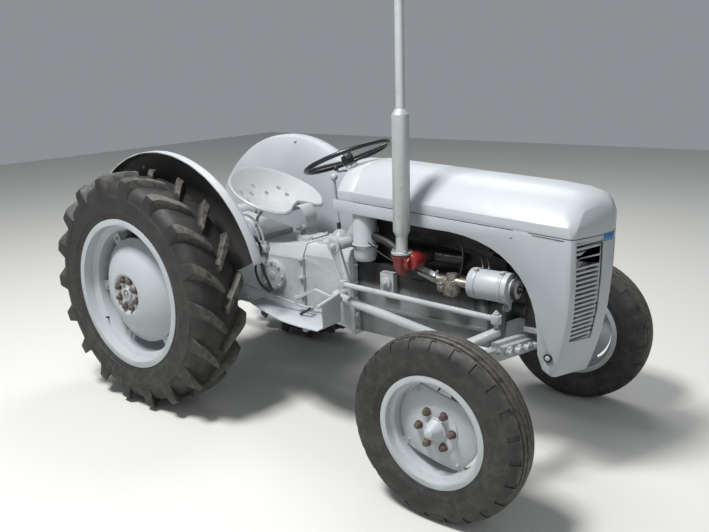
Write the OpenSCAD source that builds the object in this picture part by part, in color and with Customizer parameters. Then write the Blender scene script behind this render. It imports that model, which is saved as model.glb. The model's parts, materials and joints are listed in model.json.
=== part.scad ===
// Small vintage farm tractor: engine, gearbox and rear axle bolted into one
// backbone, tipping bonnet, open engine side, pan seat and three-point linkage.
// +X is forward, +Y is the driver's left, +Z is up, and the ground is z = 0.
// Places are counted from the ground under the rear axle, then moved so that
// the origin lies under the middle of the whole tractor.

/* [Layout] */
// Distance between the two axles
wheelbase = 1778; // [1740:1:1820]
// Width between the middles of the rear tyres
rear_track = 1220; // [1210:2:1320]
// Width between the middles of the front tyres
front_track = 1330; // [1310:2:1400]
// Height of the crankshaft above the rear axle
crank_up = 38; // [30:1:46]
// Distance from the front axle to the nose
nose_reach = 377; // [370:1:390]
// Distance from the front of the engine to the front axle
engine_gap = 78; // [70:1:90]

/* [Rear wheels] */
// Radius of the rear tyre over its lugs
rear_r = 602; // [590:1:620]
// Width of the rear tyre
rear_w = 284; // [260:1:290]
// Height of the lugs
lug_h = 30; // [20:1:38]
// Number of lugs on each side of the tread
lug_n = 18; // [14:1:22]
// Radius of the rear rim where the tyre sits
rear_seat_r = 355; // [345:1:365]
// Height of the rear rim's flanges
rear_flange = 26; // [18:1:30]
// Radius of the pressed rear disc
rear_disc_r = 270; // [250:1:285]
// How far the rear disc stands out from the tyre's middle
disc_bulge = 128; // [116:1:132]
// Radius of the recess for the rear wheel nuts
recess_r = 104; // [90:1:115]
// Radius of the brake drums
drum_r = 190; // [170:1:200]
// Radius of the rear axle shafts
halfshaft_r = 35; // [28:1:38]

/* [Front wheels] */
// Radius of the front tyre
front_r = 365; // [355:1:372]
// Width of the front tyre
front_w = 165; // [150:1:170]
// Radius of the front rim where the tyre sits
front_seat_r = 203; // [195:1:210]
// Height of the front rim's flanges
front_flange = 19; // [14:1:22]
// Distance from the front tyre's middle in to the kingpin
kingpin_in = 145; // [140:1:150]
// Radius of the kingpin
kingpin_r = 17; // [14:1:20]
// Radius of the front stub axle
stub_r = 20; // [17:1:23]
// Radius of the front hub
front_hub_r = 46; // [42:1:50]

/* [Front axle] */
// Height of the front axle beam above the front wheels' centres
beam_up = 195; // [185:1:205]
// Depth of the front axle beam
beam_h = 80; // [70:1:84]
// Thickness of each part of the beam
beam_t = 24; // [20:1:26]
// How far the beam's middle lies ahead of the kingpins
beam_sweep = 158; // [150:1:170]
// Outer end of the beam's middle part
beam_mid = 330; // [310:1:350]
// Inner end of each axle extension
beam_in = 140; // [120:1:150]
// Radius of the axle's centre pivot pin
axle_pin_r = 20; // [16:1:22]
// Outer radius of the radius rods
rod_r = 21; // [16:1:23]

/* [Casing] */
// Radius of the differential housing
diff_r = 215; // [205:1:222]
// Half width of the centre housing
case_w = 180; // [170:1:188]
// Front face of the gearbox, where the engine bolts on
engine_x = 1010; // [1000:1:1020]
// Joint between the centre housing and the gearbox
joint_x = 684; // [674:1:694]
// Height of the top of the gearbox above the rear axle
gearbox_up = 224; // [215:1:233]
// Depth of the bottom of the casing below the rear axle
casing_down = 147; // [135:1:155]
// Radius of the round inspection cover
cover_r = 82; // [70:1:88]
// Radius of the trumpet housings at their outer end
trumpet_r = 78; // [70:1:84]

/* [Engine] */
// Half width of the crankcase
engine_w = 150; // [140:1:156]
// Half width of the cylinder block above the crankcase
upper_w = 100; // [92:1:106]
// Height of the top of the cylinder block above the rear axle
block_up = 303; // [295:1:311]
// Height of the top of the rocker cover above the rear axle
rocker_up = 438; // [430:1:446]
// Depth of the bottom of the oil sump below the rear axle
sump_down = 167; // [155:1:177]

/* [Exhaust and fuel] */
// Height of the top of the exhaust pipe above the cylinder block
exhaust_rise = 1245; // [1050:5:1300]
// Radius of the silencer
silencer_r = 36.5; // [32:0.5:40]
// Radius of the exhaust pipe
exhaust_r = 19; // [16:1:22]
// Sideways distance of the exhaust from the middle
exhaust_y = 302; // [298:1:308]
// Distance from the front of the engine back to the exhaust
exhaust_back = 330; // [320:1:340]
// Radius of the air cleaner
cleaner_r = 55; // [50:1:57]
// Radius of the dynamo
dynamo_r = 62; // [55:1:64]

/* [Bonnet] */
// Rear edge of the bonnet's top
bonnet_x = 1060; // [1050:1:1075]
// Half width of the bonnet
bonnet_w = 235; // [232:1:245]
// Height of the crease at the bonnet's rear edge above the rear axle
crease_up = 522; // [514:1:528]
// Height of the crown over the crease
crown_h = 128; // [110:1:140]
// Fall of the bonnet line towards the nose, in degrees
bonnet_fall = 3.1; // [2.5:0.1:3.5]
// Depth of the band under the crease
band_h = 44; // [38:1:50]
// Thickness of the bonnet's panels
panel_t = 4; // [3:0.5:6]
// Depth of the bottom of the nose below the front axle beam
nose_down = 120; // [110:1:130]
// Slant of the nose, seen from above
nose_slant = 0.3; // [0.26:0.01:0.34]
// Number of grille bars on each side
grille_n = 21; // [15:1:24]
// Distance from the nose back to the bonnet's hinge
hinge_back = 151; // [144:1:158]
// Radius of the hinge pin
hinge_r = 12; // [9:1:14]

/* [Steering] */
// Radius of the steering wheel
wheel_r = 222; // [200:1:230]
// Radius of the steering wheel's rim
wheel_rim_r = 11; // [9:1:13]
// Lean of the steering column from upright, in degrees
column_lean = 23.2; // [22:0.1:25]
// Radius of the steering column
column_r = 22; // [18:1:26]
// Height of the drop arms from ball to shaft
drop_len = 164; // [158:1:170]
// Radius of the drop arm shaft
rocker_r = 18; // [15:1:20]
// Radius of the drag links
drag_r = 12; // [10:1:14]

/* [Driver's place] */
// Half length of the pan seat
seat_a = 247; // [235:1:255]
// Half width of the pan seat
seat_b = 252; // [240:1:256]
// Thickness of the seat
seat_t = 6; // [4:0.5:9]
// Place of the middle of the seat
seat_x = 366; // [356:1:376]
// Height of the seat's rim above the rear axle
seat_up = 443; // [433:1:450]
// Forward lean of the seat, in degrees
seat_lean = 22; // [18:0.5:26]
// Radius of the mudguards beyond the rear tyres
guard_out = 63; // [60:1:75]
// Thickness of the mudguards
guard_t = 4; // [3:0.5:6]
// Depth of the footboards below the rear axle
board_down = 78; // [72:1:86]
// Thickness of the footboards
board_t = 5; // [4:0.5:8]

/* [Linkage] */
// Length of the lower links
link_len = 850; // [835:1:865]
// Half distance between the lower link balls
link_ball_y = 360; // [345:1:370]
// Radius of the holes in the lower link balls
link_hole_r = 11.2; // [9:0.1:12]
// Depth of the parked lower links below the rear axle
link_down = 230; // [222:1:237]
// Height of the lift shaft above the rear axle
lift_up = 260; // [253:1:268]
// Length of the lift arms
lift_len = 262; // [255:1:270]
// Radius of the power take-off shaft
pto_r = 14.3; // [12:0.1:17.5]

/* [Hidden] */
$fn = 36;

// Running clearance round a turning shaft, and the gap between seated pieces
fit = 0.05;
seat_gap = 0.3;
// Paint and bare colours
grey = [0.66, 0.68, 0.68];
black = [0.06, 0.06, 0.06];
rubber = [0.16, 0.15, 0.14];
silver = [0.72, 0.72, 0.70];

// Heights over the ground
crank_z = rear_r + crank_up;
gearbox_z = rear_r + gearbox_up;
casing_z = rear_r - casing_down;
block_z = rear_r + block_up;
rocker_z = rear_r + rocker_up;
sump_z = rear_r - sump_down;
crease_z = rear_r + crease_up;
seat_z = rear_r + seat_up;
board_z = rear_r - board_down;
link_z = rear_r - link_down;
lift_z = rear_r + lift_up;
exhaust_top = block_z + exhaust_rise;
beam_z = front_r + beam_up;
nose_z = beam_z - nose_down;
hinge_z = beam_z - 20;
// Fall of the bonnet line for each millimetre forward
tan_fall = tan(bonnet_fall);
// Places along the tractor
engine_front = wheelbase - engine_gap;
nose_x = wheelbase + nose_reach;
hinge_x = nose_x - hinge_back;
exhaust_x = engine_front - exhaust_back;
guard_r = rear_r + guard_out;

rear_y = rear_track / 2;
front_y = front_track / 2;
kingpin_y = front_y - kingpin_in;
link_pin_x = 130;
link_pin_y = 232;
link_eye_r = 30;
link_drop = 4;
rear_end_x = link_pin_x - link_len - link_eye_r;
x_mid = (nose_x + rear_end_x) / 2;

module place() {
    translate([-x_mid, 0, 0]) children();
}

// The same piece on the other side
module both() {
    children();
    mirror([0, 1, 0]) children();
}

// A round bar from one point to another
module bar(a, b, r, r2 = undef) {
    v = b - a;
    length = norm(v);
    end_r = is_undef(r2) ? r : r2;
    translate(a)
        rotate([0, acos(v[2] / length), atan2(v[1], v[0])])
            cylinder(h = length, r1 = r, r2 = end_r);
}

// A cylinder along Y, from y = a to y = b
module across(x, z, a, b, r) {
    translate([x, max(a, b), z]) rotate([90, 0, 0]) cylinder(h = abs(b - a), r = r);
}

// A cylinder along X, from x = a to x = b
module along(y, z, a, b, r) {
    translate([min(a, b), y, z]) rotate([0, 90, 0]) cylinder(h = abs(b - a), r = r);
}

// A box between two corners
module block(a, b) {
    translate(a) cube(b - a);
}

// A plate with an outline in X and Z, from y = a to y = b
module side_plate(points, a, b) {
    translate([0, max(a, b), 0]) rotate([90, 0, 0])
        linear_extrude(height = abs(b - a)) polygon(points);
}

// A plate with an outline in Y and Z, from x = a to x = b
module side_wall(a, b, points) {
    translate([a, 0, 0]) rotate([90, 0, 90]) linear_extrude(height = b - a) polygon(points);
}

// Bolt heads on a circle round the Y axis, standing out from y = a to y = b
module bolts_across(x, z, ring_r, n, a, b, r) {
    for (i = [0 : n - 1])
        across(x + ring_r * cos(360 * i / n), z + ring_r * sin(360 * i / n), a, b, r);
}

// Casing
flange_t = 11;
flange_out = 5;
// Width and depth of the sloping shoulders
shoulder_w = 36;
shoulder_h = 62;

bell_w = engine_w + 32;
neck_x = 180;
neck_drop = 46;
// Height of the centre housing's sloping top
function case_top(x) = gearbox_z - neck_drop + (neck_drop - 6) * (x - neck_x) / (joint_x - neck_x);

// A casing section with sloping shoulders, from x = a to x = b
module shouldered(a, b, w, top) {
    side_wall(a, b, [[-w, casing_z - 80], [w, casing_z - 80], [w, top - shoulder_h], [w - shoulder_w, top],
        [shoulder_w - w, top], [-w, top - shoulder_h]]);
}

// Upright bolt heads at each pair of places, from z = a to z = b
module bolts_down(xs, ys, a, b, r) {
    for (x = xs, y = ys) translate([x, y, a]) cylinder(h = b - a, r = r);
}

module transmission_case() {
    place() color(grey) difference() {
        union() {
            // Centre housing, from the differential to the joint
            intersection() {
                side_plate([[neck_x, casing_z + 10], [joint_x, casing_z], [joint_x, gearbox_z - 6],
                    [neck_x, case_top(neck_x)]], -case_w, case_w);
                shouldered(neck_x, joint_x, case_w, gearbox_z - 12);
            }
            // Gearbox and bell housing
            intersection() {
                side_plate([[joint_x, casing_z + 15], [engine_x - 90, casing_z - 5],
                    [engine_x, casing_z - 25], [engine_x, gearbox_z + 14], [engine_x - 60, gearbox_z],
                    [joint_x, gearbox_z]], -bell_w + 12, bell_w - 12);
                shouldered(joint_x, engine_x, bell_w - 12, gearbox_z + 14);
            }
            // Bell's wider mouth, against the engine
            side_wall(engine_x - 96, engine_x - 12, [[-bell_w + 4, casing_z + 20],
                [bell_w - 4, casing_z + 20], [bell_w - 4, crank_z + 40], [bell_w - 30, crank_z + 96],
                [-bell_w + 30, crank_z + 96], [-bell_w + 4, crank_z + 40]]);
            // Bolted flanges
            shouldered(joint_x - flange_t, joint_x + flange_t, case_w + flange_out, gearbox_z + 4);
            block([engine_x - 2 * flange_t, -bell_w, casing_z - 32], [engine_x, bell_w, gearbox_z - 16]);
            side_wall(engine_x - 2 * flange_t, engine_x, [[-bell_w, gearbox_z - 20], [bell_w, gearbox_z - 20],
                [bell_w - 40, gearbox_z + 24], [-bell_w + 40, gearbox_z + 24]]);
            // Gearbox lid under the lever
            block([joint_x + 34, -96, gearbox_z - 4], [engine_x - 146, 96, gearbox_z + 9]);
            bolts_down([joint_x + 46, engine_x - 158], [-84, 0, 84], gearbox_z + 4, gearbox_z + 15, 8);
            // Lid of the centre housing, behind the joint
            block([joint_x - 124, -70, gearbox_z - 40], [joint_x - 24, 70, gearbox_z + 8]);
            // Raised bosses for the bolts of the joint
            for (p = [[casing_z + 34, 0], [casing_z + 120, 0], [crank_z + 20, 0], [gearbox_z - 72, 0]])
                across(joint_x, p[0], -case_w - 9, case_w + 9, 15);
            // Drain and filler plugs
            across(joint_x - 66, casing_z + 52, -case_w - 10, case_w + 10, 15);
            across(neck_x + 96, casing_z + 40, -case_w - 8, case_w + 8, 18);
            // Round inspection covers
            across(490, crank_z + 8, -case_w - 12, case_w + 12, cover_r);
            bolts_across(490, crank_z + 8, cover_r - 13, 8, -case_w - 19, case_w + 19, 7);
            // Gear lever turret
            translate([788, 0, gearbox_z - 4]) cylinder(h = 20, r = 62);
        }
        // Clearance round the rear axle housing
        across(0, rear_r, -case_w - 30, case_w + 30, diff_r + seat_gap);
    }
}

pto_z = rear_r - 97;

trumpet_y = 474;
trumpet_in = case_w + 24;
trumpet_root = diff_r - 78;
// Radius of the trumpet housing at a sideways distance
function trumpet_at(y) = trumpet_r + (trumpet_root - trumpet_r) * (trumpet_y - y) / (trumpet_y - trumpet_in);

module rear_axle_case() {
    place() color(grey) union() {
        difference() {
            union() {
                across(0, rear_r, -case_w, case_w, diff_r);
                both() across(0, rear_r, case_w, trumpet_in, diff_r - 8);
                both() translate([0, trumpet_in, rear_r]) rotate([-90, 0, 0])
                    cylinder(h = trumpet_y - trumpet_in, r1 = trumpet_root, r2 = trumpet_r);
                both() bolts_across(0, rear_r, diff_r - 26, 12, trumpet_in, trumpet_in + 10, 9);
                along(0, pto_z, -diff_r - 8, -diff_r + 60, 46);
                // Brake backing plates
                both() across(0, rear_r, trumpet_y, trumpet_y + 7, drum_r);
                // Brackets for the lower links
                both() block([link_pin_x - 30, link_pin_y - 60, link_z - 30],
                    [link_pin_x + 30, link_pin_y - 44, rear_r - 60]);
                both() across(link_pin_x, link_z, link_pin_y - 60, link_pin_y - 14, 26);
                // Top link bracket
                for (s = [-1, 1])
                    side_plate([[-diff_r + 30, rear_r + 60], [-diff_r - 38, rear_r + 168],
                        [-diff_r - 38, rear_r + 208], [-diff_r + 6, rear_r + 208], [-140, rear_r + 136]],
                        s * 26, s * 44);
            }
            both() across(0, rear_r, trumpet_y - 90, trumpet_y + 20, halfshaft_r);
            across(-diff_r - 18, rear_r + 188, -60, 60, top_pin_r);
        }
        both() across(link_pin_x, link_z, link_pin_y - 14, link_pin_y + 40, link_pin_r);
        // Power take-off shaft
        along(0, pto_z, -diff_r - 66, -diff_r + 80, pto_r);
    }
}

top_pin_r = 9.6;
link_pin_r = 15;

module lift_cover() {
    place() color(grey) union() {
        difference() {
            union() {
                side_plate([[-150, lift_z - 90], [neck_x - 1, lift_z - 90],
                    [neck_x - 1, case_top(neck_x) + seat_gap], [330, case_top(330) + seat_gap],
                    [330, lift_z - 44], [180, lift_z - 22], [-20, lift_z + 18],
                    [-120, lift_z + 10], [-150, lift_z - 30]], -150, 150);
                across(lift_x, lift_z, -172, 172, 52);
            }
            across(lift_x, lift_z, -200, 200, lift_shaft_r);
            across(0, rear_r, -220, 220, diff_r + seat_gap);
        }
    }
}

lift_x = -60;
lift_shaft_r = 26;

// Engine
fan_z = crank_z + 232;
crankcase_top = crank_z + 150;
cover_t = 60;
pulley_x = engine_front + 122;
block_l = engine_front - engine_x;
plug_ends = 246;
plug_pitch = (block_l - plug_ends) / 3;
core_ends = 310;
core_pitch = (block_l - core_ends) / 2;

module engine_block() {
    x0 = engine_x + seat_gap;
    cover_x = engine_front + cover_t;
    place() color(grey) union() {
        // Crankcase, and the narrower cylinder block and head over it
        block([x0, -engine_w, crank_z - 64], [engine_front, engine_w, crankcase_top]);
        side_plate([[x0, crankcase_top - 20], [engine_front, crankcase_top - 20], [engine_front, block_z],
            [x0 + 52, block_z], [x0 + 52, gearbox_z + 16], [x0, gearbox_z + 16]], -upper_w, upper_w);
        block([x0 + 56, -upper_w - 6, block_z - 4], [engine_front - 20, upper_w + 6, block_z + 78]);
        side_plate([[x0 + 66, block_z + 70], [engine_front - 96, block_z + 70],
            [engine_front - 108, rocker_z], [x0 + 78, rocker_z]], -74, 74);
        // Oil sump
        side_plate([[x0, sump_z], [x0 + 330, sump_z], [x0 + 400, sump_z + 55],
            [engine_front, sump_z + 55], [engine_front, crank_z - 60], [x0, crank_z - 60]],
            -engine_w + 12, engine_w - 12);
        block([x0, -engine_w - 8, crank_z - 74], [engine_front, engine_w + 8, crank_z - 58]);
        // Filter housing on the right side
        block([x0 + 156, -engine_w - 34, crank_z + 26], [x0 + 232, -engine_w, crank_z + 122]);
        // Core plugs and side cover on the right
        for (i = [0 : 2])
            across(x0 + 150 + i * core_pitch, crankcase_top + 26, -upper_w - 5, -upper_w + 10, 15);
        block([x0 + 300, -engine_w - 6, crank_z + 10], [engine_front - 60, -engine_w + 4, crank_z + 102]);
        // Starter, distributor and spark plugs on the left
        along(engine_w + 28, crank_z - 6, x0, x0 + 190, 42);
        along(engine_w + 28, crank_z - 6, x0 + 188, x0 + 206, 27);
        translate([engine_front - 150, upper_w + 30, crankcase_top - 8]) cylinder(h = 66, r = 25);
        translate([engine_front - 150, upper_w + 30, crankcase_top + 56]) cylinder(h = 40, r1 = 35, r2 = 28);
        for (i = [0 : 3]) {
            across(x0 + 130 + i * plug_pitch, block_z + 34, upper_w, upper_w + 22, 13);
            across(x0 + 130 + i * plug_pitch, block_z + 34, upper_w, upper_w + 52, 7);
        }
        // Timing cover, pulleys and belt
        side_plate([[engine_front - 6, crank_z - 90], [cover_x, crank_z - 70],
            [cover_x, block_z - 30], [engine_front - 6, block_z - 10]], -110, 110);
        for (p = [[crank_z, 66, 30], [fan_z, 42, 20]]) {
            along(0, p[0], pulley_x, pulley_x + 28, p[1]);
            along(0, p[0], cover_x - 10, pulley_x + 4, p[2]);
        }
    }
}

module manifold() {
    port_z = block_z - 42;
    log_y = -upper_w - 34;
    reach_x = exhaust_x + 44;
    log_back = engine_x + 198;
    log_front = engine_front - 118;
    place() color([0.55, 0.08, 0.07]) union() {
        for (i = [0 : 3])
            across(log_back + 22 + i * (log_front - log_back - 44) / 3, port_z,
                -upper_w - seat_gap, log_y, 20);
        along(log_y, port_z, log_back, log_front, 24);
        // Arm out to the elbow under the exhaust
        across(reach_x, port_z + 2, log_y, -exhaust_y - 6, 30);
        along(-exhaust_y, port_z, exhaust_x, reach_x + 4, 29);
        translate([exhaust_x, -exhaust_y, flange_z - 88]) cylinder(h = 40, r1 = 20, r2 = 38);
        translate([exhaust_x, -exhaust_y, flange_z - 48]) cylinder(h = 48, r = 38);
        translate([exhaust_x, -exhaust_y, flange_z - 12]) cylinder(h = 12, r = 46);
    }
}

flange_z = block_z - 7;

module exhaust_stack() {
    neck_z = flange_z + 78;
    silencer_top = flange_z + 602;
    place() color(silver) translate([exhaust_x, -exhaust_y, 0]) difference() {
        union() {
            translate([0, 0, flange_z + seat_gap]) cylinder(h = 10, r = 46);
            translate([0, 0, flange_z + seat_gap]) cylinder(h = neck_z - flange_z, r = 25);
            translate([0, 0, neck_z]) cylinder(h = 22, r1 = 26, r2 = silencer_r);
            translate([0, 0, neck_z + 22]) cylinder(h = silencer_top - neck_z - 44, r = silencer_r);
            translate([0, 0, silencer_top - 22]) cylinder(h = 22, r1 = silencer_r, r2 = exhaust_r + 3);
            translate([0, 0, silencer_top]) cylinder(h = exhaust_top - silencer_top, r = exhaust_r);
        }
        translate([0, 0, exhaust_top - 120]) cylinder(h = 200, r = exhaust_r - 2.5);
    }
}

module carburettor() {
    z = crank_z + 128;
    y = -engine_w - 56;
    x = engine_front - 140;
    place() color([0.62, 0.55, 0.42]) union() {
        along(y, z + 14, x - 82, x + 80, 19);
        translate([x, y, z - 42]) cylinder(h = 62, r = 36);
        translate([x, y, z + 14]) cylinder(h = 34, r = 24);
        along(y, z - 14, x - 60, x - 30, 26);
        block([x - 32, y + 20, z - 16], [x + 32, -engine_w - seat_gap, z + 18]);
        // Intake pipe, up to the elbow
        bar([x - 78, y, z + 14], [x - 158, y - 8, z + 46], 19);
    }
}

module dynamo() {
    x0 = engine_front - 36;
    x1 = engine_front + 138;
    y = -218;
    z = crank_z + 158;
    place() color(grey) union() {
        along(y, z, x0, x1, dynamo_r);
        along(y, z, x1, x1 + 12, dynamo_r - 22);
        along(y, z, x1 + 12, x1 + 32, 38);
        block([x0 + 14, y + 40, z - 30], [engine_front - 4, -engine_w - seat_gap, z - 10]);
        block([x1 - 26, y - 10, z - dynamo_r - 34], [x1 - 8, y + 22, z - dynamo_r + 8]);
    }
}

module air_cleaner() {
    z0 = block_z - 102;
    z1 = block_z + 160;
    x = engine_x + 64;
    y = -bonnet_w + cleaner_r + 12;
    place() color(grey) union() {
        translate([x, y, z0]) cylinder(h = 16, r1 = cleaner_r - 9, r2 = cleaner_r - 2);
        translate([x, y, z0 + 16]) cylinder(h = 50, r1 = cleaner_r - 2, r2 = cleaner_r);
        translate([x, y, z0 + 66]) cylinder(h = 12, r = cleaner_r + 6);
        translate([x, y, z0 + 78]) cylinder(h = z1 - z0 - 90, r = cleaner_r);
        translate([x, y, z1 - 12]) cylinder(h = 12, r1 = cleaner_r, r2 = cleaner_r - 14);
        block([x - 8, y + 40, block_z + 12], [x + 34, -upper_w - 6 - seat_gap, block_z + 52]);
    }
}

radiator_x = engine_front + 193;
radiator_t = 74;
radiator_w = 185;
radiator_top = crease_at(radiator_x + radiator_t) + 26;

module radiator() {
    z0 = support_top + seat_gap;
    z1 = radiator_top;
    x0 = radiator_x - 8;
    x1 = radiator_x + radiator_t + 8;
    hose_x = engine_front - 52;
    hose_z = z1 - 40;
    place() color(black) union() {
        block([radiator_x, -radiator_w, z0 + 60], [radiator_x + radiator_t, radiator_w, z1 - 90]);
        block([x0, -radiator_w, z0], [x1, radiator_w, z0 + 60]);
        block([x0, -radiator_w, z1 - 90], [x1, radiator_w, z1]);
        translate([radiator_x + 37, 0, z1]) cylinder(h = 26, r = 32);
        // Top hose to the engine
        along(-40, hose_z, hose_x - 22, x0 + 4, 20);
        translate([hose_x, -40, block_z + 78 + seat_gap]) cylinder(h = hose_z - block_z - 78, r = 20);
    }
}

module fan() {
    x = pulley_x + 28 + seat_gap;
    place() color(grey) union() {
        along(0, fan_z, x, x + 28, 40);
        for (i = [0 : 3])
            translate([x + 16, 0, fan_z]) rotate([45 + i * 90, 0, 0])
                translate([11, -28, 30]) rotate([0, 0, 22]) cube([4, 58, 118]);
    }
}

// Front support under the radiator, with the axle's pivot
support_top = beam_z + 80;

module front_support() {
    back = engine_front + cover_t + 1;
    wall = pulley_x + 36;
    low = beam_z - 60;
    shelf = crank_z - 78;
    place() color(grey) union() {
        difference() {
            union() {
                side_plate([[back, shelf], [back, low], [wall - 10, low],
                    [axle_x - 90, low + 15], [axle_x + 36, low + 15], [axle_x + 50, beam_z + 20],
                    [axle_x + 50, beam_z + 52], [axle_x + 36, support_top], [wall, support_top],
                    [wall, shelf]], -104, 104);
                // Cheeks beside the crank pulley
                both() side_plate([[back, shelf - 20], [wall + 20, shelf - 20], [wall + 20, support_top],
                    [back + 60, support_top], [back, shelf + 48]], 82, 104);
                block([radiator_x - 14, -radiator_w, support_top - 24],
                    [radiator_x + 90, radiator_w, support_top]);
            }
            // Slot for the axle beam, which rocks on its pin
            block([axle_x - beam_t - sweep_run * 104 - 14, -200, beam_z - beam_h / 2 - 30],
                [axle_x + beam_t + 8, 200, beam_z + beam_h / 2 + 10]);
        }
        along(0, beam_z, axle_x - 80, axle_x + 44, axle_pin_r);
        // Bonnet hinge arms and pins
        both() side_plate([[axle_x + 30, beam_z - 20], [hinge_x + 18, hinge_z - 18],
            [hinge_x + 18, hinge_z + 18], [axle_x + 40, beam_z + 40]], 96, 110);
        both() across(hinge_x, hinge_z, 100, cheek_w(hinge_z) - panel_t - 1, 16);
        both() across(hinge_x, hinge_z, 100, cheek_w(hinge_z) + 5, hinge_r);
    }
}

axle_x = wheelbase + beam_sweep;
sweep_run = beam_sweep / kingpin_y;

// Point on the beam's middle line at a sideways distance
function beam_at(y, ahead = 0) = [axle_x - sweep_run * y + ahead, y];

// A straight piece of the beam in plan, between two sideways distances
module beam_piece(y0, y1, ahead, t, z0, z1) {
    translate([0, 0, z0]) linear_extrude(height = z1 - z0)
        polygon([beam_at(y0, ahead), beam_at(y1, ahead), beam_at(y1, ahead - t), beam_at(y0, ahead - t)]);
}

module front_axle() {
    boss_r = kingpin_r + 16;
    place() color(grey) difference() {
        union() {
            both() beam_piece(0, beam_mid, 0, beam_t, beam_z - beam_h / 2, beam_z + beam_h / 2);
            both() beam_piece(beam_in, kingpin_y - 8, beam_t, beam_t, beam_z - 26, beam_z + 26);
            both() beam_piece(beam_mid - 40, kingpin_y - 8, beam_t, beam_t + 10, beam_z - 26, beam_z + 26);
            both() translate([wheelbase, kingpin_y, beam_z - 46]) cylinder(h = 100, r = boss_r);
            both() for (i = [0 : 3])
                translate([beam_at(beam_in + 20 + i * 48, beam_t)[0], beam_in + 20 + i * 48, beam_z])
                    rotate([0, 90, 0]) cylinder(h = 22, r = 14, $fn = 6);
            along(0, beam_z, axle_x - beam_t - 14, axle_x + beam_t, axle_pin_r + 16);
        }
        along(0, beam_z, axle_x - 90, axle_x + 90, axle_pin_r + seat_gap);
        both() translate([wheelbase, kingpin_y, beam_z - 60]) cylinder(h = 130, r = kingpin_r + fit);
    }
}

rod_back = [950, 232, rear_r + 20];

module radius_rods() {
    front = [wheelbase - 42, kingpin_y - 61, beam_z + 56];
    place() color(grey) both() {
        bar(rod_back, front, rod_r);
        translate(rod_back) sphere(r = rod_r + 9);
        translate([front[0], front[1], beam_z + 26 + seat_gap]) cylinder(h = 52, r = rod_r + 2);
        // Bracket on the side of the casing
        bar([rod_back[0], bell_w - 4 + seat_gap, rod_back[2]], rod_back, 20);
    }
}

// Steering
column_dir = [sin(column_lean), 0, -cos(column_lean)];
hub = [848, 0, rear_r + 644];
hub_back = 32;
hub_bore = 10;
rocker_x = 985;
rocker_zz = rear_r + 278;
arm_y = 285;
drag_y = 312;
ball_r = 17;
drag_back = [rocker_x + 67, drag_y, rocker_zz - drop_len];
knuckle_ball = [wheelbase + 95, kingpin_y - 108, beam_z + 172];

module steering_box() {
    box_z = gearbox_z + 24 + seat_gap;
    place() color(grey) union() {
        side_plate([[rocker_x - 115, gearbox_z + seat_gap], [rocker_x - 40, gearbox_z + seat_gap],
            [rocker_x - 1, box_z], [rocker_x + 53, box_z], [rocker_x + 65, rocker_zz],
            [rocker_x + 45, rocker_zz + 46], [rocker_x - 55, rocker_zz + 60],
            [rocker_x - 105, box_z + 22]], -84, 84);
        bar(hub + column_dir * (hub_back + seat_gap), hub + column_dir * 400, column_r);
        bar(hub + column_dir * 8, hub + column_dir * 60, hub_bore - fit);
        both() across(rocker_x, rocker_zz, 84, arm_y - 30, rocker_r + 8);
        both() across(rocker_x, rocker_zz, arm_y - 30, arm_y + 14, rocker_r);
    }
}

module drop_arm() {
    foot = [drag_back[0], arm_y, drag_back[2]];
    difference() {
        union() {
            across(rocker_x, rocker_zz, arm_y - 10, arm_y + 10, rocker_r + 16);
            translate([0, arm_y + 7, 0]) rotate([90, 0, 0]) linear_extrude(height = 14) hull() {
                translate([rocker_x, rocker_zz]) circle(r = rocker_r + 12);
                translate([foot[0], foot[2]]) circle(r = 20);
            }
            across(foot[0], foot[2], arm_y, drag_y - ball_r - seat_gap, 12);
        }
        across(rocker_x, rocker_zz, arm_y - 40, arm_y + 40, rocker_r + fit);
    }
}

module drag_link() {
    place() color(grey) union() {
        translate(drag_back - [0, 0, ball_r]) cylinder(h = 2 * ball_r, r = ball_r);
        bar(drag_back, knuckle_ball, drag_r);
        translate(knuckle_ball - [0, 0, 16]) cylinder(h = 32, r = 20);
        translate(knuckle_ball - [0, 0, 34]) cylinder(h = 20, r = 9);
    }
}

arm_top = knuckle_ball[2] - 42;

module knuckle() {
    z_arm = beam_z + 54 + seat_gap;
    place() color(grey) union() {
        translate([wheelbase, kingpin_y, front_r - 26])
            cylinder(h = z_arm + 56 - front_r, r = kingpin_r);
        translate([wheelbase, kingpin_y, front_r - 34])
            cylinder(h = beam_z - 46 - seat_gap - front_r + 34, r = kingpin_r + 13);
        across(wheelbase, front_r, kingpin_y, front_y + 30, stub_r);
        across(wheelbase, front_r, kingpin_y, front_y - 78, stub_r + 16);
        // Steering arm, from the kingpin's top to the drag link's ball
        translate([wheelbase, kingpin_y, z_arm]) cylinder(h = 30, r = kingpin_r + 13);
        hull() {
            translate([wheelbase, kingpin_y, z_arm + 6]) cylinder(h = 20, r = 24);
            translate([knuckle_ball[0], knuckle_ball[1], arm_top - 22]) cylinder(h = 22, r = 18);
        }
    }
}

module steering_wheel() {
    place() color(black) translate(hub) rotate([0, -column_lean, 0]) difference() {
        union() {
            rotate_extrude() translate([wheel_r - wheel_rim_r, 0]) circle(r = wheel_rim_r, $fn = 20);
            translate([0, 0, -hub_back]) cylinder(h = hub_back + 8, r = 30);
            for (i = [0 : 3])
                rotate([0, 0, 45 + i * 90]) bar([20, 0, -14], [wheel_r - wheel_rim_r, 0, 0], 7);
        }
        translate([0, 0, -hub_back - 2]) cylinder(h = hub_back - 5, r = hub_bore);
    }
}

// Bonnet
function crease_at(x) = crease_z - (x - bonnet_x) * tan_fall;
seam_gap = 3;
// Ridge of the nose at a height: upright above nose_bend, and swept back below it
nose_bend = crease_z - 274;
nose_curve = 0.00045;
function ridge_x(z) = nose_x - nose_curve * pow(max(0, nose_bend - z), 2);
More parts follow.
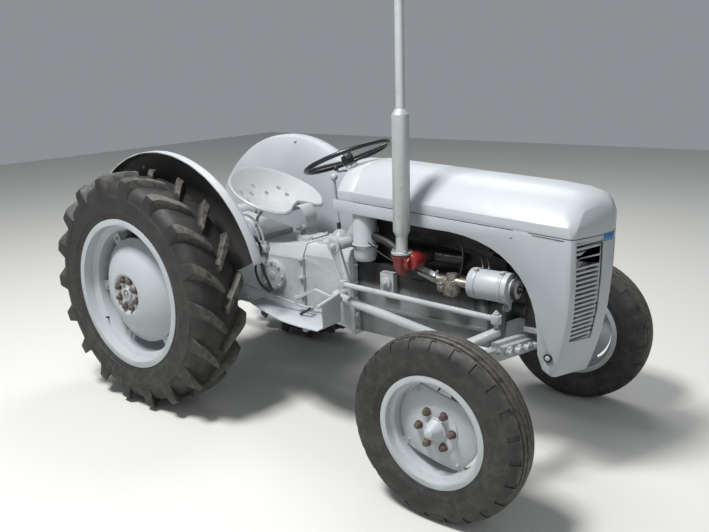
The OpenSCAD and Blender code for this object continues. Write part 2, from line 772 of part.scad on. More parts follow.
// Half width of the cheeks at a height
cheek_taper = 0.04;
function cheek_w(z) = bonnet_w - cheek_taper * max(0, crease_z - 124 - z);

// Plan of the nose and cheeks at a height, inside the outer skin by t
function plan_points(z, t, back) = let(w = cheek_w(z) - t, n = ridge_x(z) - t, c = n - nose_slant * w, r = 18)
    [[back, -w], [c - r, -w], [c - 0.3 * r, -w + 0.25 * r], [c + nose_slant * r, -w + r],
    [n - 3, -14], [n, 0], [n - 3, 14],
    [c + nose_slant * r, w - r], [c - 0.3 * r, w - 0.25 * r], [c - r, w], [back, w]];

// Upright section of the crown: half width, foot height, crown height
function crown_points(w, foot, h) =
    [[-w, foot - 30], for (i = [-8 : 8]) [w * i / 8, foot + h * (1 - pow(abs(i / 8), 2.6))], [w, foot - 30]];

// Columns: distance behind the nose, share of the full width, share of the crown height
crown_table = [[900, 1, 0.98], [230, 1, 0.98], [130, 0.995, 0.93], [90, 0.98, 0.86],
    [62, 0.88, 0.80], [34, 0.5, 0.70], [10, 0.16, 0.48], [2, 0.04, 0.25]];

// The whole outer form of the bonnet, inside its skin by t
module bonnet_form(t) {
    back = rail_x - (t > 0 ? 60 : 0);
    hull() {
        for (z = [nose_z - (t > 0 ? 20 : 0), nose_z + 80, nose_z + 170, nose_bend - 130, nose_bend,
                nose_bend + 180])
            translate([0, 0, z]) linear_extrude(height = 1) polygon(plan_points(z, t, back));
        translate([back, 0, 0]) rotate([90, 0, 90]) linear_extrude(height = 1)
            polygon(crown_points(bonnet_w - t, crease_at(back), crown_h - t));
        for (row = crown_table)
            translate([nose_x - row[0] - t, 0, 0]) rotate([90, 0, 90]) linear_extrude(height = 1)
                polygon(crown_points(row[1] * bonnet_w - t * row[1],
                    crease_at(nose_x - row[0]), row[2] * crown_h - t));
    }
}

rail_x = 945;
seam_z = crease_z - band_h;

// Half space above the seam under the band, lifted by a gap
module above_seam(up) {
    translate([bonnet_x, 0, seam_z + up]) rotate([0, bonnet_fall, 0])
        translate([-400, -400, 0]) cube([1800, 800, 600]);
}

module bonnet_top() {
    place() color(grey) difference() {
        intersection() {
            bonnet_form(0);
            above_seam(seam_gap);
            block([bonnet_x, -400, crease_z - 224], [nose_x + 100, 400, crease_z + 300]);
        }
        bonnet_form(panel_t);
    }
}

// Arch over the engine's open side: quarter of a rounded square
arch_x = nose_x - 704;
arch_z = crease_z - 579;
arch_a = 506;
arch_b = 460;
arch_n = 2.6;
function arch_points() = [for (i = [0 : 12]) let(a = 90 * i / 12)
    [arch_x + arch_a * pow(cos(a), 2 / arch_n), arch_z + arch_b * pow(sin(a), 2 / arch_n)]];

// How far the grille's bars lie behind the panel that carries them
grille_back = 2.3;
grille_low = nose_z + 164;
grille_high = crease_z - 122;

// Tabs along the rail that the bonnet's top is bolted to
module rail_tabs() {
    for (x = [bonnet_x + 90, bonnet_x + 390, bonnet_x + 690]) let(z = seam_z - (x - bonnet_x) * tan_fall,
            w = bonnet_w - panel_t) {
        block([x, w - 5, z - 18], [x + 40, w + 1, z - 4]);
        block([x, w - 5, z - 18], [x + 40, w - seat_gap, z + 16]);
    }
}

module bonnet_cowl() {
    place() color(grey) both() rail_tabs();
    place() color(grey) difference() {
        bonnet_form(0);
        bonnet_form(panel_t);
        above_seam(0);
        // Open side behind the cheek and under the rail
        side_plate(concat([[800, nose_z - 60], [nose_x - 60, nose_z - 60], [nose_x - 84, nose_z + 2],
            [nose_x - 130, nose_z + 16], [arch_x + arch_a + 22, nose_z + 44]], arch_points(),
            [[rail_x, crease_z - 90], [800, crease_z - 82]]), -400, 400);
        // Windows for the grille
        both() translate([nose_x - 155, 0, 0]) rotate([90, 0, 90]) linear_extrude(height = 300)
            polygon([[56, grille_low - 6], [188, grille_low + 6], [210, grille_high + 10],
                [56, grille_high + 2]]);
        both() across(hinge_x, hinge_z, 100, 400, hinge_r + fit);
    }
}

module grille() {
    z0 = grille_low;
    z1 = grille_high;
    pitch = (z1 - z0) / grille_n;
    depth = 14;
    place() color(grey) both() {
        for (i = [0 : grille_n])
            grille_bar(z0 + i * pitch - 4, 8, 58, 189 + i * 20 / grille_n, depth);
        for (i = [0 : 7]) let(z = z0 + i * (z1 - z0) / 8) {
            grille_bar(z, (z1 - z0) / 8, 57, 64, depth);
            grille_bar(z, (z1 - z0) / 8, 183 + i * 20 / 8, 190 + i * 20 / 8, depth);
        }
    }
}

// One level piece of the grille between two sideways distances
module grille_bar(z, h, y0, y1, depth) {
    x = ridge_x(z) - panel_t - grille_back;
    translate([0, 0, z]) linear_extrude(height = h)
        polygon([[x - nose_slant * y0, y0], [x - nose_slant * y1, y1],
            [x - nose_slant * y1 - depth, y1], [x - nose_slant * y0 - depth, y0]]);
}

module dash_panel() {
    w = bonnet_w - panel_t - 6;
    place() color(grey) difference() {
        union() {
            difference() {
                translate([rail_x + 20, 0, 0]) rotate([90, 0, 90])
                    linear_extrude(height = bonnet_x - rail_x - 26)
                        polygon(concat([[-w, crease_z - 76]],
                            crown_points(w, crease_z, crown_h - panel_t), [[w, crease_z - 76]]));
                translate([rail_x + 26, 0, 0]) rotate([90, 0, 90]) linear_extrude(height = 200)
                    polygon(concat([[-w + 5, crease_z - 100]],
                        crown_points(w - 5, crease_z, crown_h - panel_t - 5), [[w - 5, crease_z - 100]]));
            }
            // Legs down to the steering box
            both() block([rail_x + 24, 34, rocker_zz + 55], [rail_x + 36, 64, crease_z]);
        }
        bar(hub, hub + column_dir * 500, column_r + 4);
    }
}

module fuel_tank() {
    z0 = rocker_z + 30;
    place() color(grey) union() {
        translate([1130, 0, 0]) rotate([90, 0, 90]) linear_extrude(height = 460)
            polygon([for (p = [[-190, 0], [190, 0], [205, 38], [160, 89], [60, 116], [-60, 116],
                [-160, 89], [-205, 38]]) [p[0], z0 + p[1]]]);
        for (x = [1180, 1520]) block([x, -60, rocker_z + seat_gap], [x + 30, 60, z0 + 2]);
        translate([1230, 0, z0 + 115]) cylinder(h = 30, r = 30);
    }
}

// Driver's place
module footboards() {
    front = engine_x - 6;
    place() color(grey) both() {
        translate([0, 0, board_z - board_t]) linear_extrude(height = board_t)
            polygon([[430, 200], [880, 200], [930, 276], [front, 276], [front, 449], [900, 449], [835, 444],
                [767, 433], [695, 411], [621, 384], [510, 340], [430, 308]]);
        side_wall(front - board_t, front, [[276, board_z - board_t], [408, board_z - board_t],
            [408, board_z + 106], [276, board_z + 126]]);
        bar([front - 8, 276, board_z + 128], [front - 8, 431, board_z + 104], 9);
        for (x = [560, 800]) block([x, case_w + seat_gap, board_z - 30], [x + 40, 300, board_z - board_t]);
    }
}

module controls() {
    place() color(grey) union() {
        // Gear lever
        translate([788, 0, gearbox_z + 16 + seat_gap]) cylinder(h = 40, r1 = 42, r2 = 16);
        bar([788, 0, gearbox_z + 40], [762, 0, gearbox_z + 310], 7);
        translate([762, 0, gearbox_z + 318]) sphere(r = 17);
        // Foot pedals, each a bent lever on a post
        both() {
            side_plate([[engine_x - 54, board_z + seat_gap], [engine_x - 30, board_z + seat_gap],
                [engine_x - 34, pedal_z + 8], [engine_x - 50, pedal_z + 8]], 292, 306);
            across(engine_x - 42, pedal_z, 286, 312, 13);
            side_plate(strip([for (p = [[-263, -39], [-201, -8], [-139, 21], [-90, 11], [-42, 0]])
                [engine_x + p[0], pedal_z + p[1]]], 15), 292, 306);
            across(engine_x - 263, pedal_z - 39, 288, 310, 12);
        }
    }
}

pedal_z = rear_r + 32;

guard_x = 50;
guard_z = rear_r + 15;
guard_y = rear_y - 93;
// Half width of the inner plate, and of the wall near the tyre
guard_in = rear_y - 198;
guard_mid = rear_y - 150;

module mudguards() {
    place() color(grey) both() difference() {
        translate([guard_x, 0, guard_z]) rotate([-90, 0, 0]) rotate_extrude($fn = 72)
            polygon([[0, guard_in], [guard_r - 195, guard_in], [guard_r - 105, guard_in + 12],
                [guard_r - 45, guard_in + 29], [guard_r - 8, guard_mid], [guard_r, guard_mid + 20],
                [guard_r, guard_y], [guard_r + 8, guard_y], [guard_r + 8, guard_mid + 14],
                [guard_r - 4, guard_mid - 8], [guard_r - 43, guard_in + 23], [guard_r - 104, guard_in + 6],
                [guard_r - 195, guard_in - guard_t], [0, guard_in - guard_t]]);
        side_plate([[-800, -100], [900, -100], [900, rear_r + 198], [640, rear_r + 198], [430, rear_r + 98],
            [200, rear_r + 34], [-200, rear_r + 34], [-340, rear_r + 98], [-640, rear_r + 198],
            [-800, rear_r + 198]], guard_in - 60, guard_y + 90);
        across(0, rear_r, guard_in - 60, guard_y + 90, trumpet_at(guard_in - guard_t) + seat_gap);
    }
}

// Pan seat: a dish whose rim leans forward, with a notch for the spring between the thighs
seat_n = 32;
seat_depth = 82;
notch_in = 92;
notch_up = 20;
back_rise = 22;
seat_rings = [0.2, 0.4, 0.58, 0.74, 0.87, 0.96, 1, 1.03];
function seat_point(k, a, t) = let(s = seat_rings[k], near = exp(-pow((a > 180 ? a - 360 : a) / 21, 2)),
    x = s * (seat_a * cos(a) - notch_in * near), up = back_rise * pow(max(0, -cos(a)), 2) + notch_up * near,
    z = seat_z - x * sin(seat_lean) * (0.45 + 0.55 * min(s, 1)) + pow(min(s, 1), 3) * up)
    [seat_x + x * cos(seat_lean), s * seat_b * sin(a),
    z - seat_depth * (1 - pow(min(s, 1), 2.4)) - t - (s > 1 ? 8 : 0)];

module seat_pan() {
    m = len(seat_rings);
    skin = [for (t = [0, seat_t], k = [0 : m - 1], i = [0 : seat_n - 1]) seat_point(k, 360 * i / seat_n, t)];
    bottom = seat_z - seat_depth;
    points = concat(skin, [[seat_x, 0, bottom], [seat_x, 0, bottom - seat_t]]);
    low = m * seat_n;
    mid = 2 * low;
    function at(k, i) = k * seat_n + i % seat_n;
    faces = concat(
        [for (i = [0 : seat_n - 1]) [mid, at(0, i + 1), at(0, i)]],
        [for (i = [0 : seat_n - 1]) [mid + 1, low + at(0, i), low + at(0, i + 1)]],
        [for (k = [0 : m - 2], i = [0 : seat_n - 1]) each [[at(k, i), at(k, i + 1), at(k + 1, i + 1)],
            [at(k, i), at(k + 1, i + 1), at(k + 1, i)]]],
        [for (k = [0 : m - 2], i = [0 : seat_n - 1]) each [
            [low + at(k, i + 1), low + at(k, i), low + at(k + 1, i)],
            [low + at(k, i + 1), low + at(k + 1, i), low + at(k + 1, i + 1)]]],
        [for (i = [0 : seat_n - 1]) each [[at(m - 1, i), at(m - 1, i + 1), low + at(m - 1, i + 1)],
            [at(m - 1, i), low + at(m - 1, i + 1), low + at(m - 1, i)]]]);
    place() color([0.82, 0.83, 0.82]) difference() {
        polyhedron(points = points, faces = faces);
        for (p = [[-104, 125], [-50, 131], [-114, 40], [-157, -13], [-119, -66], [-104, -151], [-50, -157]])
            translate([seat_x + p[0], p[1], seat_z - 200]) cylinder(h = 240, r = 11, $fn = 12);
    }
}

// Outline of a bent strip from its middle line
function across_at(points, i) = let(v = points[min(i + 1, len(points) - 1)] - points[max(i - 1, 0)])
    [-v[1], v[0]] / norm(v);
function strip(points, t) = concat([for (i = [0 : len(points) - 1]) points[i] + across_at(points, i) * t / 2],
    [for (i = [len(points) - 1 : -1 : 0]) points[i] - across_at(points, i) * t / 2]);

module seat_spring() {
    leaf = [for (p = [[-6, -91.7], [24, -97], [39, -99.7], [54, -102], [69, -103.6], [84, -100.8],
        [99, -96.6], [114, -90.6], [129, -82.6], [144, -72.4], [160, -65], [179, -58], [199, -61],
        [218, -79], [231, -110], [231, -144], [214, -170], [186, -184], [150, -186]])
            [seat_x + p[0], seat_z + p[1]]];
    post_x = seat_x + 168;
    place() color(grey) union() {
        intersection() {
            side_plate(strip(leaf, 8), -60, 60);
            side_wall(seat_x - 100, seat_x + 400, [[-46, seat_z], [46, seat_z], [46, seat_z - 110],
                [24, seat_z - 200], [-24, seat_z - 200], [-46, seat_z - 110]]);
            // Narrower where it passes between the seat's lobes
            translate([seat_x, 0, seat_z - 300]) linear_extrude(height = 400)
                polygon([[-100, -46], [66, -46], [80, -30], [172, -30], [190, -46], [400, -46], [400, 46],
                    [190, 46], [172, 30], [80, 30], [66, 46], [-100, 46]]);
        }
        side_wall(post_x, post_x + 14, [[-13, case_top(post_x + 14) + seat_gap],
            [13, case_top(post_x + 14) + seat_gap], [13, seat_z - 187], [-13, seat_z - 187]]);
    }
}

// Tyres and wheels
rear_fn = 32;
crown_r = rear_r - lug_h;
rear_bore = (rear_seat_r + seat_gap) / cos(180 / rear_fn);

// Outline of the rear tyre without lugs: radius and half width
function rear_outline() = let(w = rear_w / 2)
    [[rear_bore, w - 20], [rear_seat_r + rear_flange + 4, w - 17], [rear_seat_r + 130, w - 1],
    [crown_r - 12, w - 44], [crown_r, 0]];

// Half outline of a rolled rim, from its middle out over the flange and back: seat radius, flange
// radius, half width, well's half width, well's depth, thickness
function rim_outline(s, f, w, b, d, t) = [[s - d, 0], [s - d, b - d / 2], [s, b], [s, w - t - 3],
    [s + 3, w - t], [f, w - t], [f, w], [s - t, w], [s - t, b + t / 2], [s - d - t, b - d / 2 + t / 2],
    [s - d - t, 0]];

module ring_from(points, n) {
    mirrored = [for (i = [len(points) - 1 : -1 : 0]) if (points[i][1] > 0) [points[i][0], -points[i][1]]];
    rotate([90, 0, 0]) rotate_extrude($fn = n) polygon(concat(points, mirrored));
}

// Four corners across a lug: angle, sideways place, bottom and top radius, bottom and top width
function lug_corners(a, y, r0, r1, w0, w1) = [for (e = [[r0, w0], [r1, w1]], t = [-0.5, 0.5])
    [e[0] * cos(a) - t * e[1] * sin(a), y, e[0] * sin(a) + t * e[1] * cos(a)]];

// A lug runs from the tread's middle to its shoulder, with the middle leading down at the front
module lug(side) {
    lead = -10;
    mid_y = side * 3;
    out_y = side * (rear_w / 2 - 2);
    hull() polyhedron(points = concat(lug_corners(lead, mid_y, crown_r - 12, rear_r, 66, 36),
            lug_corners(-1, out_y - side * 44, crown_r - 30, rear_r - 3, 78, 46),
            lug_corners(1.5, out_y, crown_r - 80, rear_r - 20, 84, 52)),
        faces = [[0, 1, 2], [3, 4, 5], [6, 7, 8], [9, 10, 11]]);
}

module rear_tyre(side) {
    place() color(rubber) translate([0, side * rear_y, rear_r]) union() {
        ring_from(rear_outline(), rear_fn);
        for (i = [0 : lug_n - 1], s = [-1, 1])
            rotate([0, -(i + (s > 0 ? 0.5 : 0)) * 360 / lug_n, 0]) lug(s);
    }
}

module rear_wheel(side) {
    s = rear_seat_r;
    edge = 38;
    skin = 8;
    floor = disc_bulge - 16;
    // Outer face of the domed disc, from its edge in to the nut recess
    dome = [[rear_disc_r, edge], [rear_disc_r - 14, edge + 7], [rear_disc_r - 42, edge + 30],
        [rear_disc_r - 80, edge + 56], [rear_disc_r - 118, edge + 76], [recess_r + 14, disc_bulge - 3],
        [recess_r, disc_bulge], [recess_r - 9, disc_bulge - 4], [recess_r - 15, floor + 2], [0, floor]];
    n = len(dome);
    place() color(grey) translate([0, side * rear_y, rear_r]) mirror([0, side < 0 ? 1 : 0, 0]) union() {
        ring_from(rim_outline(s, s + rear_flange, rear_w / 2 - 11, 78, 30, 5), 60);
        rotate([-90, 0, 0]) rotate_extrude($fn = 60)
            polygon(concat(dome, [for (i = [n - 1 : -1 : 1]) [dome[i][0], dome[i][1] - skin]],
                [[rear_disc_r, edge - skin]]));
        // Lugs that join the disc's edge to the rim
        for (i = [0 : 5])
            rotate([0, 60 * i - 4, 0]) translate([rear_disc_r - 34, edge - skin - 12, -26])
                cube([s - 32 - rear_disc_r + 34, 13, 52]);
        // Hub, nuts and brake drum
        across(0, 0, floor - 2, -62, 70);
        across(0, 0, floor - 2, disc_bulge - 1, 33);
        for (i = [0 : 7])
            rotate([0, 45 * i + 22.5, 0]) across(72, 0, floor - 2, disc_bulge + 3, 12);
        across(0, 0, -62, -rear_y + trumpet_y + 7 + 5, drum_r - 2);
        across(0, 0, -62, -rear_y + 400, halfshaft_r - fit);
    }
}

module front_tyre(side) {
    w = front_w / 2;
    r = front_r;
    place() color(rubber) translate([wheelbase, side * front_y, front_r])
        ring_from([[front_seat_r + seat_gap, w - 22], [front_seat_r + front_flange + 4, w - 20], [r - 66, w],
            [r - 12, w - 24], [r, 0]], 36);
}

module front_wheel(side) {
    s = front_seat_r;
    disc_flat = 138;
    place() color(grey) translate([wheelbase, side * front_y, front_r]) mirror([0, side < 0 ? 1 : 0, 0])
        difference() {
            union() {
                ring_from(rim_outline(s, s + front_flange, front_w / 2 - 15, 36, 16, 4), 60);
                // Round disc with two flats, bolted to lugs in the rim
                intersection() {
                    rotate([-90, 0, 0]) rotate_extrude($fn = 60)
                        polygon([[0, 20], [96, 20], [130, 14], [156, 7], [171, 4], [171, -3], [154, 0],
                            [128, 7], [94, 12], [0, 12]]);
                    rotate([0, 12, 0]) cube([400, 200, 2 * disc_flat], center = true);
                }
                for (i = [0 : 3])
                    rotate([0, 90 * i - 33, 0]) translate([134, -9, -17]) cube([s - 16 - 134, 11, 34]);
                across(0, 0, -76, 32, front_hub_r);
                translate([0, 32, 0]) rotate([-90, 0, 0]) cylinder(h = 44, r1 = front_hub_r - 6, r2 = 17);
                bolts_across(0, 0, 72, 6, 14, 44, 11);
                across(0, 0, 16, 24, 92);
            }
            // Bearing bore on the stub axle
            across(0, 0, -100, 32, stub_r + fit);
        }
}

// Three-point linkage
module lift_arms() {
    tip = [lift_x - lift_len, 214, lift_z - 14];
    place() color(grey) union() {
        across(lift_x, lift_z, -230, 230, lift_shaft_r - fit);
        both() translate([0, 226, 0]) rotate([90, 0, 0]) linear_extrude(height = 24) hull() {
            translate([lift_x, lift_z]) circle(r = 42);
            translate([tip[0], tip[2]]) circle(r = 22);
        }
        both() across(tip[0], tip[2], 226, 250, 11);
    }
}

rod_top = [lift_x - lift_len, 262, lift_z - 14];
link_rod_x = -300;
link_run = (link_ball_y - link_pin_y - 20) / (link_len);
function link_y(x) = link_pin_y + 20 + link_run * (link_pin_x - x);

module lower_link() {
    back = [link_pin_x - link_len, link_ball_y, link_z - link_drop];
    place() color(grey) difference() {
        union() {
            translate([0, 0, link_z - 19]) linear_extrude(height = 38)
                polygon([[link_pin_x - 20, link_pin_y + 10], [link_pin_x - 20, link_pin_y + 30],
                    [back[0] + 20, back[1] + 10], [back[0] + 20, back[1] - 10]]);
            across(link_pin_x, link_z, link_pin_y + 4, link_pin_y + 36, 30);
            across(back[0], back[2], back[1] - 22, back[1] + 22, link_eye_r);
        }
        across(link_pin_x, link_z, link_pin_y - 30, link_pin_y + 60, link_pin_r + fit);
        across(back[0], back[2], back[1] - 60, back[1] + 60, link_hole_r);
    }
}

module lift_rod() {
    y = link_y(link_rod_x) + 26;
    foot = [link_rod_x, y, link_z];
    place() color(grey) difference() {
        union() {
            across(rod_top[0], rod_top[2], 238, 262, 24);
            bar([rod_top[0], 250, rod_top[2]], foot + [0, 6, 0], 12);
            across(foot[0], foot[2], y - 6, y + 14, 22);
        }
        across(rod_top[0], rod_top[2], 200, 300, 11 + fit);
    }
}

transmission_case();
rear_axle_case();
lift_cover();
engine_block();
manifold();
carburettor();
dynamo();
air_cleaner();
exhaust_stack();
radiator();
fan();
front_support();
front_axle();
radius_rods();
steering_box();
dash_panel();
fuel_tank();
footboards();
controls();
mudguards();
seat_pan();
seat_spring();
rear_tyre(1);  // rear_tyre_l
rear_tyre(-1);  // rear_tyre_r
rear_wheel(1);  // rear_wheel_l
rear_wheel(-1);  // rear_wheel_r
front_tyre(1);  // front_tyre_l
front_tyre(-1);  // front_tyre_r
front_wheel(1);  // front_wheel_l
front_wheel(-1);  // front_wheel_r
knuckle();  // knuckle_l
mirror([0, 1, 0]) knuckle();  // knuckle_r
place() color(grey) drop_arm();  // drop_arm_l
place() color(grey) mirror([0, 1, 0]) drop_arm();  // drop_arm_r
drag_link();  // drag_link_l
mirror([0, 1, 0]) drag_link();  // drag_link_r
steering_wheel();
bonnet_top();
bonnet_cowl();
grille();
lift_arms();
lower_link();  // lower_link_l
mirror([0, 1, 0]) lower_link();  // lower_link_r
lift_rod();  // lift_rod_l
mirror([0, 1, 0]) lift_rod();  // lift_rod_r
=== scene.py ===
"""Looks of a small vintage farm tractor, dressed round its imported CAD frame.

The frame gives every casting, panel and wheel at its place. This script adds the
camera, the studio, the finishes and the fine pieces that the solids leave out.
Places are given as on a drawing: millimetres from the ground under the middle of
the rear axle, with X forward, Y to the driver's left and Z up.
"""

from __future__ import annotations

import json
import logging
import math
from dataclasses import dataclass
from enum import Enum
from typing import Callable, Iterator, Sequence

import bmesh
import bpy
from mathutils import Matrix, Vector

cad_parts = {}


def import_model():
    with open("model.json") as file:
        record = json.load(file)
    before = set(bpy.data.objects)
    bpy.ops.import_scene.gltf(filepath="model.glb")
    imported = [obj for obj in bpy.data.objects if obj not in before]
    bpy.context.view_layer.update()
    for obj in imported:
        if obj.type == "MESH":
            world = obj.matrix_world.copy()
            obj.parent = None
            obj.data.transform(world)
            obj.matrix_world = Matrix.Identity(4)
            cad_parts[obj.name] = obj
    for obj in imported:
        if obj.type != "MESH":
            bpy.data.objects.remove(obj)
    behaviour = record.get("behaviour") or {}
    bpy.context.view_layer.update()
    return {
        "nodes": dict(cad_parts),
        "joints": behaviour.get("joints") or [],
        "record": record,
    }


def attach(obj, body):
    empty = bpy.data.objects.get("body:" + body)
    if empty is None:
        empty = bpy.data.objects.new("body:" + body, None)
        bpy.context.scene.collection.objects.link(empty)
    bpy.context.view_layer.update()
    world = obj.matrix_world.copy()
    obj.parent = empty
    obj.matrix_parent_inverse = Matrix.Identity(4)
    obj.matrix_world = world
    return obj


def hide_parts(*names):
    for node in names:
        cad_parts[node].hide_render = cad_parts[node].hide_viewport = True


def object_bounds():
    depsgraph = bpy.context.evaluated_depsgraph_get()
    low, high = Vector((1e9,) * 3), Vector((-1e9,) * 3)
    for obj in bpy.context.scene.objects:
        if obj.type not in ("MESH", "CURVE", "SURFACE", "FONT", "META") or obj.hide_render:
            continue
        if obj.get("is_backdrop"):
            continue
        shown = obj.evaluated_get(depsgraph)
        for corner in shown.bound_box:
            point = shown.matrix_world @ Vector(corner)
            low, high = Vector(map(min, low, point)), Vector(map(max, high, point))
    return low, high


LOG = logging.getLogger("tractor")
MM = 0.001
# Distance in metres within which points are welded
WELD = 1e-5
# Sharpest angle that is smoothed and that a rounding leaves alone, in degrees
SMOOTH = 38.0
ROUNDED = 28.0
TYRE_STEPS = 96
UP, DOWN, AHEAD, ASTERN, LEFT, RIGHT = (0, 0, 1), (0, 0, -1), (1, 0, 0), (-1, 0, 0), (0, 1, 0), (0, -1, 0)
SIDES = (("l", 1), ("r", -1))
SIGNS = (-1, 1)
Point = Sequence[float]
Piece = bpy.types.Object
Tree = bpy.types.NodeTree
Socket = bpy.types.NodeSocket


def linear(hex_code: str) -> tuple[float, float, float, float]:
    """Turn an sRGB hex colour into the linear one that Blender's sockets take.

    Args:
        hex_code: Six hex digits, such as "9DA2A3".

    Returns:
        Linear red, green, blue and an alpha of 1.
    """
    values = [int(hex_code[i : i + 2], 16) / 255 for i in (0, 2, 4)]
    out = [v / 12.92 if v <= 0.04045 else ((v + 0.055) / 1.055) ** 2.4 for v in values]
    return (out[0], out[1], out[2], 1.0)


def add_node(
    tree: Tree, kind: str, settings: dict | None = None, inputs: dict | None = None
) -> bpy.types.Node:
    """Add one shader node with its settings and its links or values.

    Args:
        tree: The material's node tree.
        kind: The node's type name, such as "ShaderNodeTexNoise".
        settings: Property names and values on the node itself.
        inputs: Socket names or numbers, each with an output socket to link or a value.

    Returns:
        The new node.
    """
    node = tree.nodes.new(kind)
    for name, value in (settings or {}).items():
        setattr(node, name, value)
    for key, value in (inputs or {}).items():
        socket = node.inputs[key]
        if isinstance(value, bpy.types.NodeSocket):
            tree.links.new(value, socket)
        else:
            socket.default_value = value
    return node


def cloud(place: Socket, size_mm: float, detail: float = 4.0) -> dict:
    """Give a noise's inputs for clouds of a real width."""
    return {"Vector": place, "Scale": 1.0 / (size_mm * MM), "Detail": detail, "Roughness": 0.6}


def levels(value: Socket, low: float, high: float, least: float, most: float) -> dict:
    """Give a map range's inputs, from two levels of a value to two results."""
    return {"Value": value, "From Min": low, "From Max": high, "To Min": least, "To Max": most}


@dataclass(frozen=True)
class Veil:
    """A tone that lies over another where a noise rises between two levels."""

    tone: object
    size_mm: float
    low: float
    high: float
    most: float
    detail: float = 4.0

    def over(self, tree: Tree, place: Socket, under: object, mask: Socket | None = None) -> Socket:
        """Lay the tone over a colour.

        Args:
            tree: The material's node tree.
            place: The coordinates' socket, in metres.
            under: Colour or socket that is covered.
            mask: Socket that holds the tone back where it is 0.

        Returns:
            The mixed colour's socket.
        """
        noise = add_node(tree, "ShaderNodeTexNoise", None, cloud(place, self.size_mm, self.detail))
        rise = levels(noise.outputs[0], self.low, self.high, 0.0, self.most)
        share = add_node(tree, "ShaderNodeMapRange", {"interpolation_type": "SMOOTHSTEP"}, rise).outputs[0]
        if mask is not None:
            held = {0: mask, 1: share}
            share = add_node(tree, "ShaderNodeMath", {"operation": "MULTIPLY"}, held).outputs[0]
        inputs = {"Factor": share, 6: under, 7: self.tone}
        return add_node(tree, "ShaderNodeMix", {"data_type": "RGBA"}, inputs).outputs[2]


@dataclass(frozen=True)
class Finish:
    """A surface finish: its colours, its gloss and the size of its marks.

    The colour runs from base to patch in soft clouds, with a film of dust that
    thickens towards the ground and in small spots. Grain is a fine relief.
    """

    name: str
    base: str
    patch: str
    roughness: float
    slot: str = "paint"
    metallic: float = 0.0
    coat: float = 0.0
    patch_mm: float = 260.0
    patch_share: float = 0.5
    dust: str = "8A8172"
    dust_share: float = 0.25
    dust_mm: float = 60.0
    dust_top: float = 0.9
    spot: str = "5E4B38"
    spot_share: float = 0.0
    spot_mm: float = 9.0
    grain_mm: float = 4.0
    grain_depth: float = 0.12
    pit_mm: float = 0.0
    pit_depth: float = 0.0
    ior: float = 1.5

    def colour(self, tree: Tree, place: Socket) -> Socket:
        """Build the surface colour from clouds, dust and spots.

        Args:
            tree: The material's node tree.
            place: The coordinates' socket.

        Returns:
            The colour's socket.
        """
        clouds = Veil(linear(self.patch), self.patch_mm, 0.38, 0.66, self.patch_share)
        mixed = clouds.over(tree, place, linear(self.base))
        height = add_node(tree, "ShaderNodeSeparateXYZ", None, {0: place}).outputs[2]
        fall = levels(height, self.dust_top, 0.0, 0.0, 1.0)
        low_down = add_node(tree, "ShaderNodeMapRange", {"interpolation_type": "SMOOTHSTEP"}, fall)
        film = Veil(linear(self.dust), self.dust_mm, 0.42, 0.70, self.dust_share, 6.0)
        mixed = film.over(tree, place, mixed, low_down.outputs[0])
        if self.spot_share > 0:
            spots = Veil(linear(self.spot), self.spot_mm, 0.62, 0.74, self.spot_share, 3.0)
            mixed = spots.over(tree, place, mixed)
        return mixed

    def relief(self, tree: Tree, place: Socket) -> Socket:
        """Build the bump from fine grain and, on castings, shallow pits."""
        normal = {}
        marks = ((self.grain_mm, self.grain_depth, 2.0), (self.pit_mm, self.pit_depth, 3.0))
        for size_mm, depth, detail in marks:
            if size_mm > 0:
                height = add_node(tree, "ShaderNodeTexNoise", None, cloud(place, size_mm, detail)).outputs[0]
                inputs = {"Height": height, "Strength": 1.0, "Distance": depth * MM, **normal}
                normal = {"Normal": add_node(tree, "ShaderNodeBump", None, inputs).outputs[0]}
        return normal["Normal"]

    def build(self) -> bpy.types.Material:
        """Make the material once, and give it again when it exists."""
        found = bpy.data.materials.get(self.name)
        if found is not None:
            return found
        material = bpy.data.materials.new(self.name)
        material.use_nodes = True
        tree = material.node_tree
        place = add_node(tree, "ShaderNodeTexCoord").outputs["Object"]
        shader = tree.nodes["Principled BSDF"]
        shader.inputs["Metallic"].default_value = self.metallic
        if self.metallic < 0.5:
            shader.inputs["IOR"].default_value = self.ior
        if self.coat > 0:
            shader.inputs["Coat Weight"].default_value = self.coat
            shader.inputs["Coat Roughness"].default_value = 0.18
        # Gloss wanders in clouds a little smaller than the dust's
        noise = add_node(tree, "ShaderNodeTexNoise", None, cloud(place, self.dust_mm * 0.6)).outputs[0]
        spread = levels(noise, 0.3, 0.7, self.roughness - 0.06, self.roughness + 0.10)
        gloss = add_node(tree, "ShaderNodeMapRange", None, spread)
        tree.links.new(self.colour(tree, place), shader.inputs["Base Color"])
        tree.links.new(gloss.outputs[0], shader.inputs["Roughness"])
        tree.links.new(self.relief(tree, place), shader.inputs["Normal"])
        return material


@dataclass(frozen=True)
class Marked(Finish):
    """A finish with a second tone where an attribute of the mesh says so."""

    mark: str = "scuff"
    marked: str = "54504C"
    cloud_mm: float = 26.0
    cloud_low: float = 0.30
    cloud_high: float = 0.62
    cloud_share: float = 0.92

    def colour(self, tree: Tree, place: Socket) -> Socket:
        """Lay the marked tone over the finish's own colour."""
        wear = add_node(tree, "ShaderNodeAttribute", {"attribute_name": self.mark}).outputs["Fac"]
        tone = Veil(linear(self.marked), self.cloud_mm, self.cloud_low, self.cloud_high, self.cloud_share)
        return tone.over(tree, place, super().colour(tree, place), wear)


